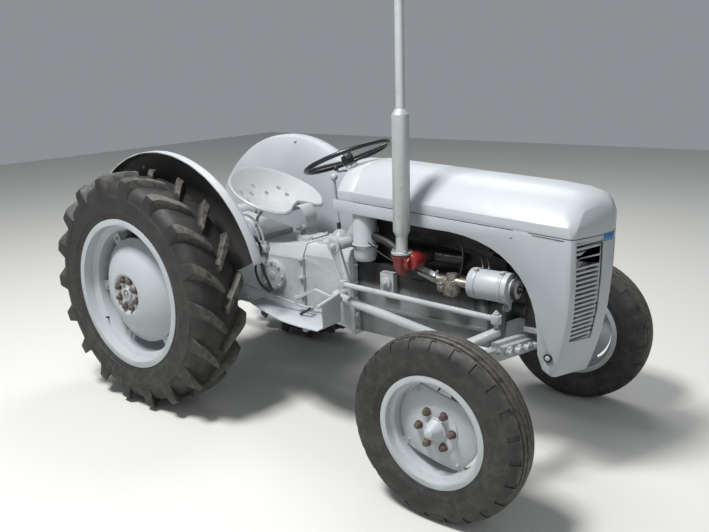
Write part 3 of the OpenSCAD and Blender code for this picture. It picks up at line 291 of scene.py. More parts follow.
@dataclass(frozen=True)
class TwoTone(Finish):
    """A finish that turns into a second tone past a level along one axis, in metres."""

    other: str = "8E2A22"
    axis: int = 1
    start: float = 0.0
    full: float = 0.0
    edge_mm: float = 24.0
    edge_m: float = 0.03
    stain_mm: float = 45.0
    stain_dark: float = 0.62

    def colour(self, tree: Tree, place: Socket) -> Socket:
        """Lay the second tone over the first past the level, with a ragged edge."""
        along = add_node(tree, "ShaderNodeSeparateXYZ", None, {0: place}).outputs[self.axis]
        noise = add_node(tree, "ShaderNodeTexNoise", None, cloud(place, self.edge_mm)).outputs[0]
        bent = {0: noise, 1: self.edge_m, 2: along}
        ragged = add_node(tree, "ShaderNodeMath", {"operation": "MULTIPLY_ADD"}, bent).outputs[0]
        past = levels(ragged, self.start, self.full, 0.0, 1.0)
        share = add_node(tree, "ShaderNodeMapRange", {"interpolation_type": "SMOOTHSTEP"}, past).outputs[0]
        fresh = linear(self.other)
        stained = [self.stain_dark * v for v in fresh[:3]] + [1.0]
        tone = Veil(stained, self.stain_mm, 0.40, 0.70, 0.55).over(tree, place, fresh)
        inputs = {"Factor": share, 6: super().colour(tree, place), 7: tone}
        return add_node(tree, "ShaderNodeMix", {"data_type": "RGBA"}, inputs).outputs[2]


class Skin(Enum):
    """The finishes on this tractor."""

    # Sprayed enamel over pressed steel: an even soft gloss with a faint orange peel
    PANEL = Finish(
        "sprayed_enamel_on_pressed_steel", "A2A7AA", "989DA1", 0.44, coat=0.12, grain_depth=0.03,
        dust_share=0.2,
    )
    # The same enamel over sand-cast iron: duller, with the mould's grain showing through
    CASTING = Finish(
        "enamel_on_sand_cast_iron", "9EA2A4", "8B8F91", 0.48, coat=0.08, patch_mm=140, spot="4A4640",
        spot_share=0.5, spot_mm=16, grain_mm=3, grain_depth=0.18, pit_mm=11, pit_depth=0.5, dust_share=0.4,
    )
    # Near-white enamel on the pressed seat: smooth and a little chalky
    SEAT = Finish(
        "chalky_white_enamel_on_pressed_steel", "9A9D9F", "919496", 0.5, "seat_paint", coat=0.08,
        grain_depth=0.03, dust_top=1.6,
    )
    # Old grey enamel in the engine bay with some grime: painted brown-black above a height as the shade
    # under the bonnet, and grey again low down on the sump, which is lit
    GRIME_AND_BAY_SHADE = TwoTone(
        "grimy_enamel_with_painted_bay_shade", "262423", "171615", 0.46, "iron", patch_mm=60, patch_share=0.9,
        spot="3C3A38", spot_share=0.5, spot_mm=22, grain_mm=3, grain_depth=0.2, pit_mm=12, pit_depth=0.5,
        dust_share=0.3, dust="3A342C", other="6C6E6F", axis=2, start=0.715, full=0.675,
    )
    # Cured tread rubber: dull brown-black, with dry soil rubbed into it
    RUBBER = Marked(
        "cured_farm_tyre_rubber", "1D1D1C", "282827", 0.60, "tyre", patch_mm=120, patch_share=0.9,
        dust="4A4843", dust_share=0.45, dust_mm=40, dust_top=1.4, grain_mm=5, grain_depth=0.25,
        pit_mm=22, pit_depth=0.5,
    )
    # Silver heat paint on drawn steel tube: pale and satin, with faint brown stains
    SILENCER = Finish(
        "silver_heat_paint_on_steel_tube", "AEB2B2", "A1A4A3", 0.38, "silver", metallic=0.35, patch_mm=80,
        spot="7D6A55", spot_share=0.35, spot_mm=45, grain_depth=0.04, dust_share=0.1,
    )
    # Red heat paint on cast iron, red only on the outer side: inboard of that the iron is painted
    # brown-black as the shade of the engine bay
    RED_IRON = TwoTone(
        "red_paint_on_cast_iron_with_painted_shade", "2B2523", "1B1817", 0.36, "red_iron", patch_mm=40, patch_share=0.8,
        spot="4A2A22", spot_share=0.5, spot_mm=14, grain_mm=3, grain_depth=0.2, pit_mm=8, pit_depth=0.4,
        other="761C1D", start=-0.205, full=-0.228,
    )
    # Die-cast zinc alloy with a yellow passivated film, dull and fuel-stained
    CARBURETTOR = Finish(
        "passivated_zinc_die_casting", "86827A", "4E4840", 0.42, "brass", metallic=0.5, patch_mm=30,
        patch_share=0.8, spot="4A3D2C", spot_share=0.5, spot_mm=12, grain_mm=2, grain_depth=0.1,
    )
    # The panels' enamel on the guards, darkened on the wheel's side of the sheet where the mesh's mark says
    # so: painted shade under the guards, with some earth thrown by the wheels
    GUARD = Marked(
        "enamel_with_wheel_thrown_soil", "A2A7AA", "989DA1", 0.46, coat=0.08, grain_depth=0.03,
        dust_share=0.2, mark="shade_and_soil", marked="2C2A27", cloud_low=-0.2, cloud_high=0.25,
    )
    # Moulded hard rubber on the wheel rim: black, with a worn sheen
    RIM_COVER = Finish(
        "moulded_hard_rubber", "16171A", "232528", 0.33, "black", patch_mm=60, grain_mm=3, grain_depth=0.05,
        dust_share=0.1,
    )
    # Black paint on the radiator's fins: matt
    RADIATOR = Finish(
        "matt_black_radiator_paint", "191A1A", "262523", 0.6, "iron", patch_mm=50, dust_share=0.5,
        dust="4B463D",
    )
    # Steel wheel nuts gone to rust: grey-brown crust with dark pits
    RUST = Finish(
        "rusted_mild_steel", "5C4E46", "362E2A", 0.75, "iron", patch_mm=10, patch_share=0.9, spot="6A594D",
        spot_share=0.6, spot_mm=4, grain_mm=1.6, grain_depth=0.25, dust_share=0.2,
    )
    # Zinc-plated screws and rods: bright grey with a soft sheen
    PLATED = Finish(
        "dull_zinc_plated_steel", "9C9E9E", "7E8080", 0.36, "silver", metallic=0.85, patch_mm=25,
        grain_mm=1.5, grain_depth=0.04,
    )
    # Vitreous blue badge plate: glossy, with no lettering
    BADGE = Finish(
        "blue_enamelled_plate", "14659C", "125483", 0.22, coat=0.5, patch_mm=60, grain_depth=0.01,
        dust_share=0.1,
    )
    # Extruded rubber hose and moulded plugs: matt black
    HOSE = Finish(
        "extruded_rubber_hose", "1A1A1A", "262524", 0.55, "black", patch_mm=40, grain_mm=2, grain_depth=0.08,
        dust_share=0.3,
    )


@dataclass(frozen=True)
class Datum:
    """Turns places on the drawing into the frame's metres."""

    axle_x: float

    def at(self, x: float, y: float, z: float) -> Vector:
        """Give a drawing place in metres in the frame."""
        return Vector((self.axle_x + x * MM, y * MM, z * MM))


def leave_edit() -> None:
    """Go back to object mode with nothing selected."""
    if bpy.context.object is not None and bpy.context.object.mode != "OBJECT":
        bpy.ops.object.mode_set(mode="OBJECT")
    bpy.ops.object.select_all(action="DESELECT")


def pick(obj: Piece) -> None:
    """Select one object alone and make it the active one."""
    leave_edit()
    obj.select_set(True)
    bpy.context.view_layer.objects.active = obj


def seal() -> None:
    """Turn every face of the mesh in edit mode outwards, and leave edit mode."""
    bpy.ops.mesh.select_all(action="SELECT")
    bpy.ops.mesh.normals_make_consistent(inside=False)
    leave_edit()


def pull(x: float, y: float, z: float) -> None:
    """Extrude what is selected by a distance in millimetres."""
    bpy.ops.mesh.extrude_region_move(TRANSFORM_OT_translate={"value": (x * MM, y * MM, z * MM)})


def copy_of(obj: Piece, name: str) -> Piece:
    """Copy an object with its mesh into the scene under a new name."""
    made = bpy.data.objects.new(name, obj.data.copy())
    bpy.context.scene.collection.objects.link(made)
    return made


def modify(obj: Piece, kind: str, **settings: object) -> None:
    """Apply one modifier, such as "BEVEL", with its settings."""
    pick(obj)
    modifier = obj.modifiers.new(kind, kind)
    for name, value in settings.items():
        setattr(modifier, name, value)
    bpy.ops.object.modifier_apply(modifier=modifier.name)


def towards(direction: Point) -> Matrix:
    """Give the turn that takes Z to a direction."""
    return Vector(UP).rotation_difference(Vector(direction)).to_matrix().to_4x4()


def both(x: float, y: float, z: float, *roll: float) -> list[tuple]:
    """Give the seats on the right and on the left of a piece that points outwards."""
    return [((x, s * y, z), (0, s, 0), *roll) for s in SIGNS]


@dataclass
class Bench:
    """The workbench: shapes pieces, lays them at drawing places and hangs them on bodies.

    A piece is shaped round the origin along Z in millimetres, and then laid on a
    seat: its drawing place, where its Z points, and its turn about Z in degrees.
    """

    datum: Datum
    nodes: dict
    body_of: dict

    def turn(self, name: str, steps: Sequence[Point], count: int = 32) -> Piece:
        """Turn a closed solid round Z.

        Args:
            name: The piece's name.
            steps: Radius and height at each step, from the foot up.
            count: Number of sides.

        Returns:
            The piece, round the origin.
        """
        leave_edit()
        radius, height = steps[0]
        bpy.ops.mesh.primitive_circle_add(
            vertices=count, radius=radius * MM, fill_type="NGON", location=(0, 0, height * MM)
        )
        obj = bpy.context.object
        obj.name = name
        bpy.ops.object.transform_apply(location=True)
        bpy.ops.object.mode_set(mode="EDIT")
        bpy.ops.mesh.select_all(action="SELECT")
        for (r0, h0), (r1, h1) in zip(steps, steps[1:]):
            pull(0, 0, h1 - h0)
            scale = r1 / r0
            bpy.ops.transform.resize(value=(scale, scale, 1), center_override=(0, 0, h1 * MM))
        seal()
        return obj

    def outline(self, name: str, points: Sequence[Point], fill: str) -> Piece:
        """Bring a circle's points, filled with "NGON" or "NOTHING", to an outline in edit mode."""
        leave_edit()
        bpy.ops.mesh.primitive_circle_add(vertices=len(points), radius=0.1, fill_type=fill)
        obj = bpy.context.object
        obj.name = name
        for vertex, point in zip(obj.data.vertices, points):
            vertex.co = Vector(point) * MM
        bpy.ops.object.mode_set(mode="EDIT")
        bpy.ops.mesh.select_all(action="SELECT")
        return obj

    def ring(self, name: str, section: Sequence[Point], count: int = 40) -> Piece:
        """Spin a closed section of radius and height once round Z, in so many steps."""
        obj = self.outline(name, [(r, 0, h) for r, h in section], "NOTHING")
        bpy.ops.mesh.spin(steps=count, angle=2 * math.pi, center=(0, 0, 0), axis=UP)
        bpy.ops.mesh.select_all(action="SELECT")
        bpy.ops.mesh.remove_doubles(threshold=WELD)
        seal()
        return obj

    def plate(self, name: str, points: Sequence[Point], height: float) -> Piece:
        """Raise a flat outline in X and Y, standing on the origin's plane, to a height along Z."""
        obj = self.outline(name, [(x, y, 0) for x, y in points], "NGON")
        pull(0, 0, height)
        seal()
        return obj

    def tube(self, name: str, points: Sequence[Point], radius: float, curved: bool = True) -> Piece:
        """Draw a rod, pipe or lever along drawing places.

        Args:
            name: The piece's name.
            points: Drawing places along its middle line.
            radius: Its radius.
            curved: Whether it bends smoothly.

        Returns:
            The piece, already in place.
        """
        leave_edit()
        curve = bpy.data.curves.new(name, "CURVE")
        curve.dimensions = "3D"
        curve.bevel_depth = radius * MM
        curve.bevel_resolution = 3
        curve.resolution_u = 8
        curve.use_fill_caps = True
        spline = curve.splines.new("BEZIER")
        spline.bezier_points.add(len(points) - 1)
        for knot, point in zip(spline.bezier_points, points):
            knot.co = self.datum.at(*point)
            knot.handle_left_type = knot.handle_right_type = "AUTO" if curved else "VECTOR"
        obj = bpy.data.objects.new(name, curve)
        bpy.context.scene.collection.objects.link(obj)
        pick(obj)
        bpy.ops.object.convert(target="MESH")
        return bpy.context.object

    def lay(self, obj: Piece, place: Point, direction: Point = UP, roll: float = 0.0) -> Piece:
        """Lay a piece that is round the origin on a seat."""
        turn = towards(direction) @ Matrix.Rotation(math.radians(roll), 4, "Z")
        obj.data.transform(Matrix.Translation(self.datum.at(*place)) @ turn)
        return obj

    def join(self, name: str, parts: Sequence[Piece]) -> Piece:
        """Join pieces into one with a name."""
        pick(parts[0])
        for part in parts:
            part.select_set(True)
        bpy.ops.object.join()
        parts[0].name = name
        return parts[0]

    def repeat(self, obj: Piece, seats: Sequence[tuple]) -> Piece:
        """Copy one piece to many seats and join the copies under its name."""
        name = obj.name
        made = [self.lay(copy_of(obj, name), *seat) for seat in seats]
        bpy.data.objects.remove(obj)
        return self.join(name, made)

    def bolt(self, name: str, size: float, height: float, stud: float = 0.0) -> Piece:
        """Make a hexagon head on its washer, with the end of a stud where it has one.

        Args:
            name: The piece's name.
            size: Radius over the head's corners.
            height: Height of the head over its seat.
            stud: How far a stud stands out of it.

        Returns:
            The bolt, standing on the origin's plane.
        """
        rim, wide, low = size * 1.22, size * 0.5, height * 0.16
        washer = self.turn("washer", [(rim, 0), (rim, height * 0.12), (size * 1.12, low)], 20)
        steps = [(size * 0.96, height * 0.1), (size, low), (size, height * 0.86), (size * 0.84, height)]
        parts = [self.turn(name, steps, 6), washer]
        if stud > 0:
            thread = [(wide, height * 0.9), (wide, height + stud - 1), (size * 0.42, height + stud)]
            parts.append(self.turn("thread", thread, 14))
        return self.join(name, parts)

    def hang(
        self, obj: Piece, skin: Skin, bevel: float = 0.0, seats: Sequence[tuple] = (), body: str = "chassis",
        angle: float = SMOOTH, slot: str = "",
    ) -> Piece:
        """Seat a piece, round its edges, smooth it, finish it and let it ride on a body.

        Args:
            obj: The piece, round the origin or already in place.
            skin: Its finish.
            bevel: Width of the rounding, or 0 for none.
            seats: Where it lies; it is copied to each of several seats.
            body: The body that it rides on.
            angle: Sharpest angle that is smoothed.
            slot: The record's material slot, where it isn't the finish's own; not used.

        Returns:
            The piece.
        """
        if len(seats) > 1:
            obj = self.repeat(obj, seats)
        elif seats:
            self.lay(obj, *seats[0])
        if bevel > 0:
            limit = math.radians(ROUNDED)
            modify(obj, "BEVEL", width=bevel * MM, segments=2, limit_method="ANGLE", angle_limit=limit)
        pick(obj)
        bpy.ops.object.shade_smooth_by_angle(angle=math.radians(angle))
        obj.data.materials.clear()
        obj.data.materials.append(skin.value.build())
        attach(obj, body)
        slot or skin.value.slot
        LOG.info("made %s", obj.name)
        return obj

    def bolt_on(self, *rows: tuple) -> None:
        """Hang bolts: name, size, height, stud, finish, rounding and seats in each row."""
        for name, size, height, stud, *rest in rows:
            self.hang(self.bolt(name, size, height, stud), *rest)

    def dress(self, node: str, skin: Skin, bevel: float, angle: float = SMOOTH) -> Piece:
        """Show a casting or panel as a copy with rounded edges.

        Args:
            node: The node that the copy stands for.
            skin: Its finish.
            bevel: Width of the rounding.
            angle: Sharpest angle that is smoothed.

        Returns:
            The copy.
        """
        obj = copy_of(self.nodes[node], "dressed_" + node)
        pick(obj)
        bpy.ops.mesh.customdata_custom_splitnormals_clear()
        bpy.ops.object.mode_set(mode="EDIT")
        bpy.ops.mesh.select_all(action="SELECT")
        bpy.ops.mesh.remove_doubles(threshold=WELD)
        bpy.ops.mesh.dissolve_limited(angle_limit=math.radians(0.6))
        self.hang(obj, skin, bevel, (), self.body_of[node], angle)
        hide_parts(node)
        return obj

    def loft(self, name: str, rings: Sequence[Sequence[Point]]) -> Piece:
        """Draw a solid through rings of as many corners each.

        Args:
            name: The piece's name.
            rings: For each ring its corners in millimetres.

        Returns:
            The closed piece, round the origin.
        """
        obj = self.outline(name, rings[0], "NGON")
        for before, after in zip(rings, rings[1:]):
            bpy.ops.mesh.extrude_region_move()
            mesh = bmesh.from_edit_mesh(obj.data)
            old = [Vector(p) * MM for p in before]
            for vertex in [v for v in mesh.verts if v.select]:
                nearest = min(range(len(old)), key=lambda i: (vertex.co - old[i]).length)
                vertex.co = Vector(after[nearest]) * MM
            bmesh.update_edit_mesh(obj.data)
        seal()
        return obj

    def mark(self, obj: Piece, name: str, value: Callable[[Vector], float]) -> None:
        """Write an attribute that a finish reads, from each point's place."""
        layer = obj.data.attributes.new(name, "FLOAT", "POINT")
        for item, vertex in zip(layer.data, obj.data.vertices):
            item.value = value(vertex.co)

    def sink(self, obj: Piece, chosen: Callable[[Vector], bool], depth: float) -> None:
        """Push chosen faces inwards along their normals.

        Args:
            obj: The piece.
            chosen: Says from a face's middle whether it goes in.
            depth: How deep.
        """
        pick(obj)
        bpy.ops.object.mode_set(mode="EDIT")
        bpy.ops.mesh.select_mode(type="FACE")
        bpy.ops.mesh.select_all(action="DESELECT")
        bpy.ops.object.mode_set(mode="OBJECT")
        for face in obj.data.polygons:
            face.select = chosen(face.center)
        bpy.ops.object.mode_set(mode="EDIT")
        bpy.ops.mesh.extrude_region_shrink_fatten(TRANSFORM_OT_shrink_fatten={"value": -depth * MM})
        bpy.ops.mesh.select_mode(type="VERT")
        leave_edit()


@dataclass
class Castings:
    """Castings and panels whose edges are rounded as poured or pressed metal is."""

    bench: Bench

    def build(self) -> None:
        """Dress each node that keeps its form."""
        cast, panel, grime_and_bay_shade = Skin.CASTING, Skin.PANEL, Skin.GRIME_AND_BAY_SHADE
        rows = [
            ("transmission_case", cast, 3.0), ("rear_axle_case", cast, 3.0), ("lift_cover", cast, 4.0),
            ("engine_block", grime_and_bay_shade, 2.5), ("carburettor", Skin.CARBURETTOR, 1.0), ("dynamo", panel, 1.5),
            ("air_cleaner", panel, 1.5), ("exhaust_stack", Skin.SILENCER, 0.8),
            ("radiator", Skin.RADIATOR, 2.0), ("fan", grime_and_bay_shade, 0.8), ("front_support", cast, 2.5),
            ("front_axle", cast, 2.0),
            ("radius_rods", cast, 1.5), ("steering_box", cast, 3.0), ("dash_panel", panel, 1.0),
            ("fuel_tank", panel, 6.0), ("footboards", panel, 1.2), ("controls", cast, 1.5),
            ("seat_spring", cast, 1.5), ("steering_wheel", Skin.RIM_COVER, 0.8),
            ("bonnet_top", panel, 1.2, 30),
            ("bonnet_cowl", panel, 1.0, 30), ("grille", panel, 0.8), ("lift_arms", cast, 2.0),
            ("seat_pan", Skin.SEAT, 1.2, 40),
        ]
        for letter, _ in SIDES:
            names = ("knuckle_", "drop_arm_", "drag_link_", "lower_link_", "lift_rod_")
            rows += [(name + letter, cast, 1.5) for name in names]
            rows += [(name + letter, panel, 1.6) for name in ("rear_wheel_", "front_wheel_")]
        for row in rows:
            self.bench.dress(*row)


@dataclass
class Wheels:
    """The two wheels of one axle: their tyres, and the fittings of their discs."""

    bench: Bench
    end: str = ""
    tread: str = ""
    axle_x: float = 0.0
    half_track: float = 0.0
    radius: float = 0.0

    def tyre(self) -> Piece:
        """Make one tyre, round the origin."""
        raise NotImplementedError

    def fittings(self, letter: str, side: int) -> Iterator[tuple]:
        """Give each fitting of one wheel with its finish, its rounding and its seats."""
        raise NotImplementedError

    def carcass(self, wall: Sequence[Point]) -> Piece:
        """Spin a tyre's casing from the radius and height of one wall's corners."""
        section = [*wall, *((r, -h) for r, h in reversed(wall))]
        return self.bench.ring(self.end + "_tyre", section, TYRE_STEPS)

    def scuff(self, tyre: Piece, start: float, depth: float, most: float) -> None:
        """Mark a tread where the ground scuffs it: from a radius, rising over a depth, up to a share."""
        def worn(p: Vector) -> float:
            """Give a point's share of wear."""
            return min(most, max(0.0, (math.hypot(p.x, p.y) / MM - start) / depth))

        self.bench.mark(tyre, "scuff", worn)

    def at(self, side: int, radius: float, degrees: float, across: float) -> Point:
        """Give a drawing place by its angle round the axle."""
        x, z = radius * math.cos(math.radians(degrees)), radius * math.sin(math.radians(degrees))
        return (self.axle_x + x, side * (self.half_track + across), self.radius + z)

    def build(self) -> None:
        """Make both tyres and both wheels' fittings."""
        first = self.tyre()
        for letter, side in SIDES:
            tyre = copy_of(first, "%s_tyre_%s_%s" % (self.end, self.tread, letter))
            body, seat = "%s_wheel_%s" % (self.end, letter), (self.at(side, 0, 0, 0), LEFT)
            self.bench.hang(tyre, Skin.RUBBER, 0, [seat], body, 32)
            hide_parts("%s_tyre_%s" % (self.end, letter))
            for row in self.fittings(letter, side):
                self.bench.hang(*row, body)
        bpy.data.objects.remove(first)


@dataclass
class RearWheels(Wheels):
    """Rear wheels, whose tyres carry two rows of slanting lugs."""

    end: str = "rear"
    tread: str = "tread"
    half_track: float = 610.0
    radius: float = 602.0
    lugs: int = 18

    def lug(self, side: int) -> Piece:
        """Draw one lug from the tread's middle to its shoulder.

        Args:
            side: 1 or -1, the half of the tread that it lies on.

        Returns:
            The lug, round the origin.
        """
        # Angle, height over the middle plane, lowest and highest radius, width at foot and at top
        rows = (
            (-11.5, 1, 552, 601.5, 56, 26), (-7.5, 34, 552, 602, 66, 40), (-2.5, 84, 545, 600.5, 74, 46),
            (0.2, 116, 530, 595, 80, 50), (1.5, 136, 500, 582, 84, 52), (1.8, 141.5, 492, 560, 82, 46),
        )
        rings = []
        for angle, across, low, high, foot, top in rows:
            c, s = math.cos(math.radians(angle)), math.sin(math.radians(angle))
            corners = ((low, foot, -0.5), (low, foot, 0.5), (high, top, 0.5), (high, top, -0.5))
            rings.append([(r * c - t * w * s, -(r * s + t * w * c), side * across) for r, w, t in corners])
        obj = self.bench.loft("lug", rings)
        modify(obj, "BEVEL", width=5 * MM, segments=3, angle_limit=math.radians(40))
        return obj

    def tyre(self) -> Piece:
        """Set the lugs round a casing with its bead and two moulded rings on each wall."""
        parts = [self.carcass([
            (357, 119), (380, 124), (384, 128), (392, 129), (400, 132), (412, 135.5), (414, 138), (420, 139),
            (422, 137.8), (440, 140), (462, 141), (484, 140.5), (487, 142), (492, 142), (495, 139.5),
            (512, 136), (530, 128), (546, 116), (557, 102), (564, 82), (569, 50), (571, 20),
        ])]
        for side in (1, -1):
            first = self.lug(side)
            for i in range(self.lugs):
                copy = copy_of(first, "lug")
                angle = (i + (0.5 if side > 0 else 0.0)) * 2 * math.pi / self.lugs
                copy.data.transform(Matrix.Rotation(-angle, 4, "Z"))
                parts.append(copy)
            bpy.data.objects.remove(first)
        tyre = self.bench.join("rear_tyre", parts)
        self.scuff(tyre, 578, 16, 1.0)
        return tyre

    def fittings(self, letter: str, side: int) -> Iterator[tuple]:
        """Give the nuts, the boss, the rim bolts and the valve of one wheel."""
        bench, out = self.bench, (0, side, 0)
        nuts = [(self.at(side, 72, 45 * i + 22.5, 112), out, 17 * i) for i in range(8)]
        rim = [(self.at(side, 296, 60 * i + 4, 30), out, 9 * i) for i in range(6)]
        boss = [(30, 14), (30, 20), (26, 23), (12, 24), (11, 27), (6, 28)]
        hub = [(self.at(side, 0, 0, 104), out)]
        stem = [(7, 0), (6, 14), (4.2, 16), (4.2, 34), (3.4, 38)]
        valve = [(self.at(side, 330, -145, 62), (0.5, side * 0.8, 0.35))]
        yield bench.bolt("rear_nuts_" + letter, 15, 20, 7), Skin.RUST, 0.8, nuts
        yield bench.turn("rear_boss_" + letter, boss, 40), Skin.PLATED, 0.6, hub
        yield bench.bolt("rim_bolts_" + letter, 11, 9, 4), Skin.CASTING, 0.6, rim
        yield bench.turn("rear_valve_" + letter, stem, 16), Skin.HOSE, 0, valve


@dataclass
class FrontWheels(Wheels):
    """Front wheels, whose tyres carry three ribs and notched shoulders."""

    end: str = "front"
    tread: str = "ribs"
    axle_x: float = 1778.0
    half_track: float = 665.0
    radius: float = 365.0
    # One in so many steps of the shoulder is a notch, between two radii and past a height
    notch_every: int = 4
    notch_low: float = 324.0
    notch_high: float = 359.0
    notch_side: float = 49.0
    notch_deep: float = 4.5

    def is_notch(self, middle: Vector) -> bool:
        """Say whether a face lies in one of the shoulder's notches."""
        place = int((math.atan2(middle.y, middle.x) + math.pi) / (2 * math.pi / TYRE_STEPS))
        radius = math.hypot(middle.x, middle.y) / MM
        on_shoulder = self.notch_low < radius < self.notch_high and abs(middle.z) / MM > self.notch_side
        return place % self.notch_every == 0 and on_shoulder

    def tyre(self) -> Piece:
        """Spin the tyre with its ribs and cut the notches of its shoulders."""
        tyre = self.carcass([
            (204.5, 60), (221, 62.5), (224, 66), (230, 68.5), (246, 74.5), (248, 76.5), (254, 78),
            (256, 77.5), (274, 81), (292, 82.4), (310, 81), (322, 77.5), (325, 77.5), (336, 72),
            (347, 63), (354, 56.5), (358, 50), (358.5, 42), (349, 40.5), (348, 35), (361.5, 33), (363, 24),
            (363.2, 17), (353, 15.5), (353, 12.5), (364.6, 11),
        ])
        self.bench.sink(tyre, self.is_notch, self.notch_deep)
        self.scuff(tyre, 352, 8, 0.75)
        return tyre

    def fittings(self, letter: str, side: int) -> Iterator[tuple]:
        """Give the nuts, the grease cap, the edge bolts and the valve of one wheel."""
        bench, out = self.bench, (0, side, 0)
        nuts = [(self.at(side, 72, 60 * i, 23.5), out, 23 * i) for i in range(6)]
        edge = [(self.at(side, 155, a, 3), out, a) for a in (33, 123, 213, 303)]
        cap = [(19, 0), (20, 2), (20, 10), (16, 15), (8, 18), (3, 18.5)]
        hub = [(self.at(side, 0, 0, 64), out)]
        stem = [(6, 0), (5, 10), (3.8, 12), (3.8, 26), (3, 29)]
        valve = [(self.at(side, 189, 80, 30), (-0.1, side * 0.85, -0.4))]
        yield bench.bolt("front_nuts_" + letter, 14, 22, 6), Skin.RUST, 0.8, nuts
        yield bench.turn("front_cap_" + letter, cap, 36), Skin.PANEL, 0.8, hub
        yield bench.bolt("disc_bolts_" + letter, 8.5, 7, 3), Skin.CASTING, 0.5, edge
        yield bench.turn("front_valve_" + letter, stem, 16), Skin.HOSE, 0, valve


@dataclass
class EngineSide:
    """Fittings of the engine: manifold, carburettor, dynamo, belts, hoses, leads and bolts."""

    bench: Bench
    sump_flange_z: float = 566.0
    flange_z: float = 908.4
    exhaust_x: float = 1370.0
    exhaust_y: float = -302.0
    carb_x: float = 1560.0
    carb_y: float = -206.0
    dynamo_y: float = -218.0
    dynamo_z: float = 798.0
    fan_z: float = 872.0
    crank_z: float = 640.0
    first_plug: float = 1140.3
    plug_pitch: float = 148.0
    belt_width: float = 11.0
    belt_thick: float = 7.0

    def band(self, name: str, inner: float, width: float, thick: float = 2.0) -> Piece:
        """Make a clamp's band with its screw, from its inner radius, width and thickness."""
        bench, outer = self.bench, inner + thick
        hoop = bench.ring(name, [(inner, 0), (outer, 0), (outer, width), (inner, width)])
        ears = bench.plate("ears", [(outer - 1, -7), (outer + 9, -6), (outer + 9, 6), (outer - 1, 7)], width)
        screw = bench.turn("screw", [(3.4, -9), (3.4, -7), (2, -6), (2, 8), (3.2, 9), (3.2, 12)], 12)
        middle = Matrix.Translation(Vector((outer + 5, 0, width / 2)) * MM)
        screw.data.transform(middle @ Matrix.Rotation(math.pi / 2, 4, "X"))
        return bench.join(name, [hoop, ears, screw])

    def manifold(self) -> None:
        """Dress the manifold, bolt the exhaust to it and nut it to the head."""
        bench, x, y = self.bench, self.exhaust_x, self.exhaust_y
        # The manifold's finish is red outboard and painted dark inboard as the bay's shade
        bench.dress("manifold", Skin.RED_IRON, 1.6)
        places = []
        for i, a in enumerate(math.radians(d) for d in (90, 210, 330)):
            places.append(((x + 36 * math.cos(a), y + 36 * math.sin(a), self.flange_z), UP, 30 * i))
        places += [((px, py, 886), DOWN, r) for (px, py, _), _, r in places]
        bench.hang(bench.bolt("flange_nuts", 8, 8, 4), Skin.PLATED, 0.5, places)
        studs = [((px, -101, 863), RIGHT, 11) for px in (1286, 1395, 1504)]
        bench.hang(bench.bolt("manifold_nuts", 11, 12, 6), Skin.RUST, 0.5, studs)
        lobe = [(22, -42), (33, -36), (39, -22), (40, 0), (38, 18), (30, 32), (26, 40)]
        bench.hang(bench.turn("elbow_lobe", lobe, 40), Skin.RED_IRON, 1, [((1412, -268, 868), LEFT)])
        collar = bench.ring("flange_gasket", [(30, -1.5), (47.5, -1.5), (47.5, 1.5), (30, 1.5)])
        bench.hang(collar, Skin.HOSE, 0, [((x, y, 898.2),)])

    def induction(self) -> None:
        """Add the intake pipe with its clamps, the carburettor's fittings and the fuel line."""
        bench, x, y = self.bench, self.carb_x, self.carb_y
        sleeve = bench.tube("intake_pipe", [(1484, -206, 783), (1446, -210, 798), (1404, -214, 813)], 21.5)
        bench.hang(sleeve, Skin.SEAT, slot="paint")
        hose = [
            (1408, -213, 812), (1376, -211, 818), (1320, -202, 846), (1240, -190, 896), (1128, -172, 925)
        ]
        bench.hang(bench.tube("intake_hose", hose, 19), Skin.HOSE)
        run = (-80, -8, 32)
        clamps = [
            bench.lay(self.band("hose_clamps", 21.7, 9), (1478, -206.6, 785.5), run, 20),
            bench.lay(self.band("clamp", 21.7, 9), (1420, -212.4, 807), run, -30),
            bench.lay(self.band("clamp", 61.2, 10, 2.5), (1074, -168, 870)),
        ]
        bench.hang(bench.join("hose_clamps", clamps), Skin.PLATED, 0.3)
        places = [((x + 31 * math.cos(a), y + 31 * math.sin(a), 788),) for a in (0.6, 2.2, 3.8, 5.4)]
        places += [((x - 45, y + s * 22, z), AHEAD) for s in SIGNS for z in (752, 770)]
        screw = bench.turn("carburettor_screws", [(5.5, 0), (5.5, 3), (4, 5)], 14)
        bench.hang(screw, Skin.PLATED, 0.4, places)
        plug = bench.turn("bowl_plug", [(13, 0), (13, 5), (9, 6), (9, 14)], 6)
        bench.hang(plug, Skin.CARBURETTOR, 0.6, [((x, y, 726), DOWN)])
        outline = [(-8, -8), (4, -9), (34, -4.5), (38, 0), (34, 4.5), (4, 9), (-8, 8)]
        lever = bench.plate("throttle_lever", outline, 3.5)
        bench.hang(lever, Skin.PLATED, 0.6, [((1528, y - 22, 782), RIGHT, 200)])
        # The throttle rod takes the black hose finish so that it sits dark: painted shade of the engine bay
        rod = [(1494, -232, 794), (1440, -238, 808), (1340, -236, 824), (1215, -226, 856), (1140, -232, 905)]
        bench.hang(bench.tube("throttle_rod", rod, 3), Skin.HOSE)
        tap = [(7, 0), (7, 14), (16, 16), (18, 22), (18, 30), (15, 32), (16, 60), (10, 66)]
        bench.hang(bench.turn("fuel_tap", tap, 24), Skin.PLATED, 0.5, [((1548, -150, 1069), DOWN)])
        # The fuel pipe takes the black hose finish too: painted shade of the engine bay
        line = [
            (1548, -166, 1040), (1560, -186, 1000), (1600, -196, 930), (1604, -204, 850), (1590, -208, 800)
        ]
        bench.hang(bench.tube("fuel_pipe", line, 4), Skin.HOSE)

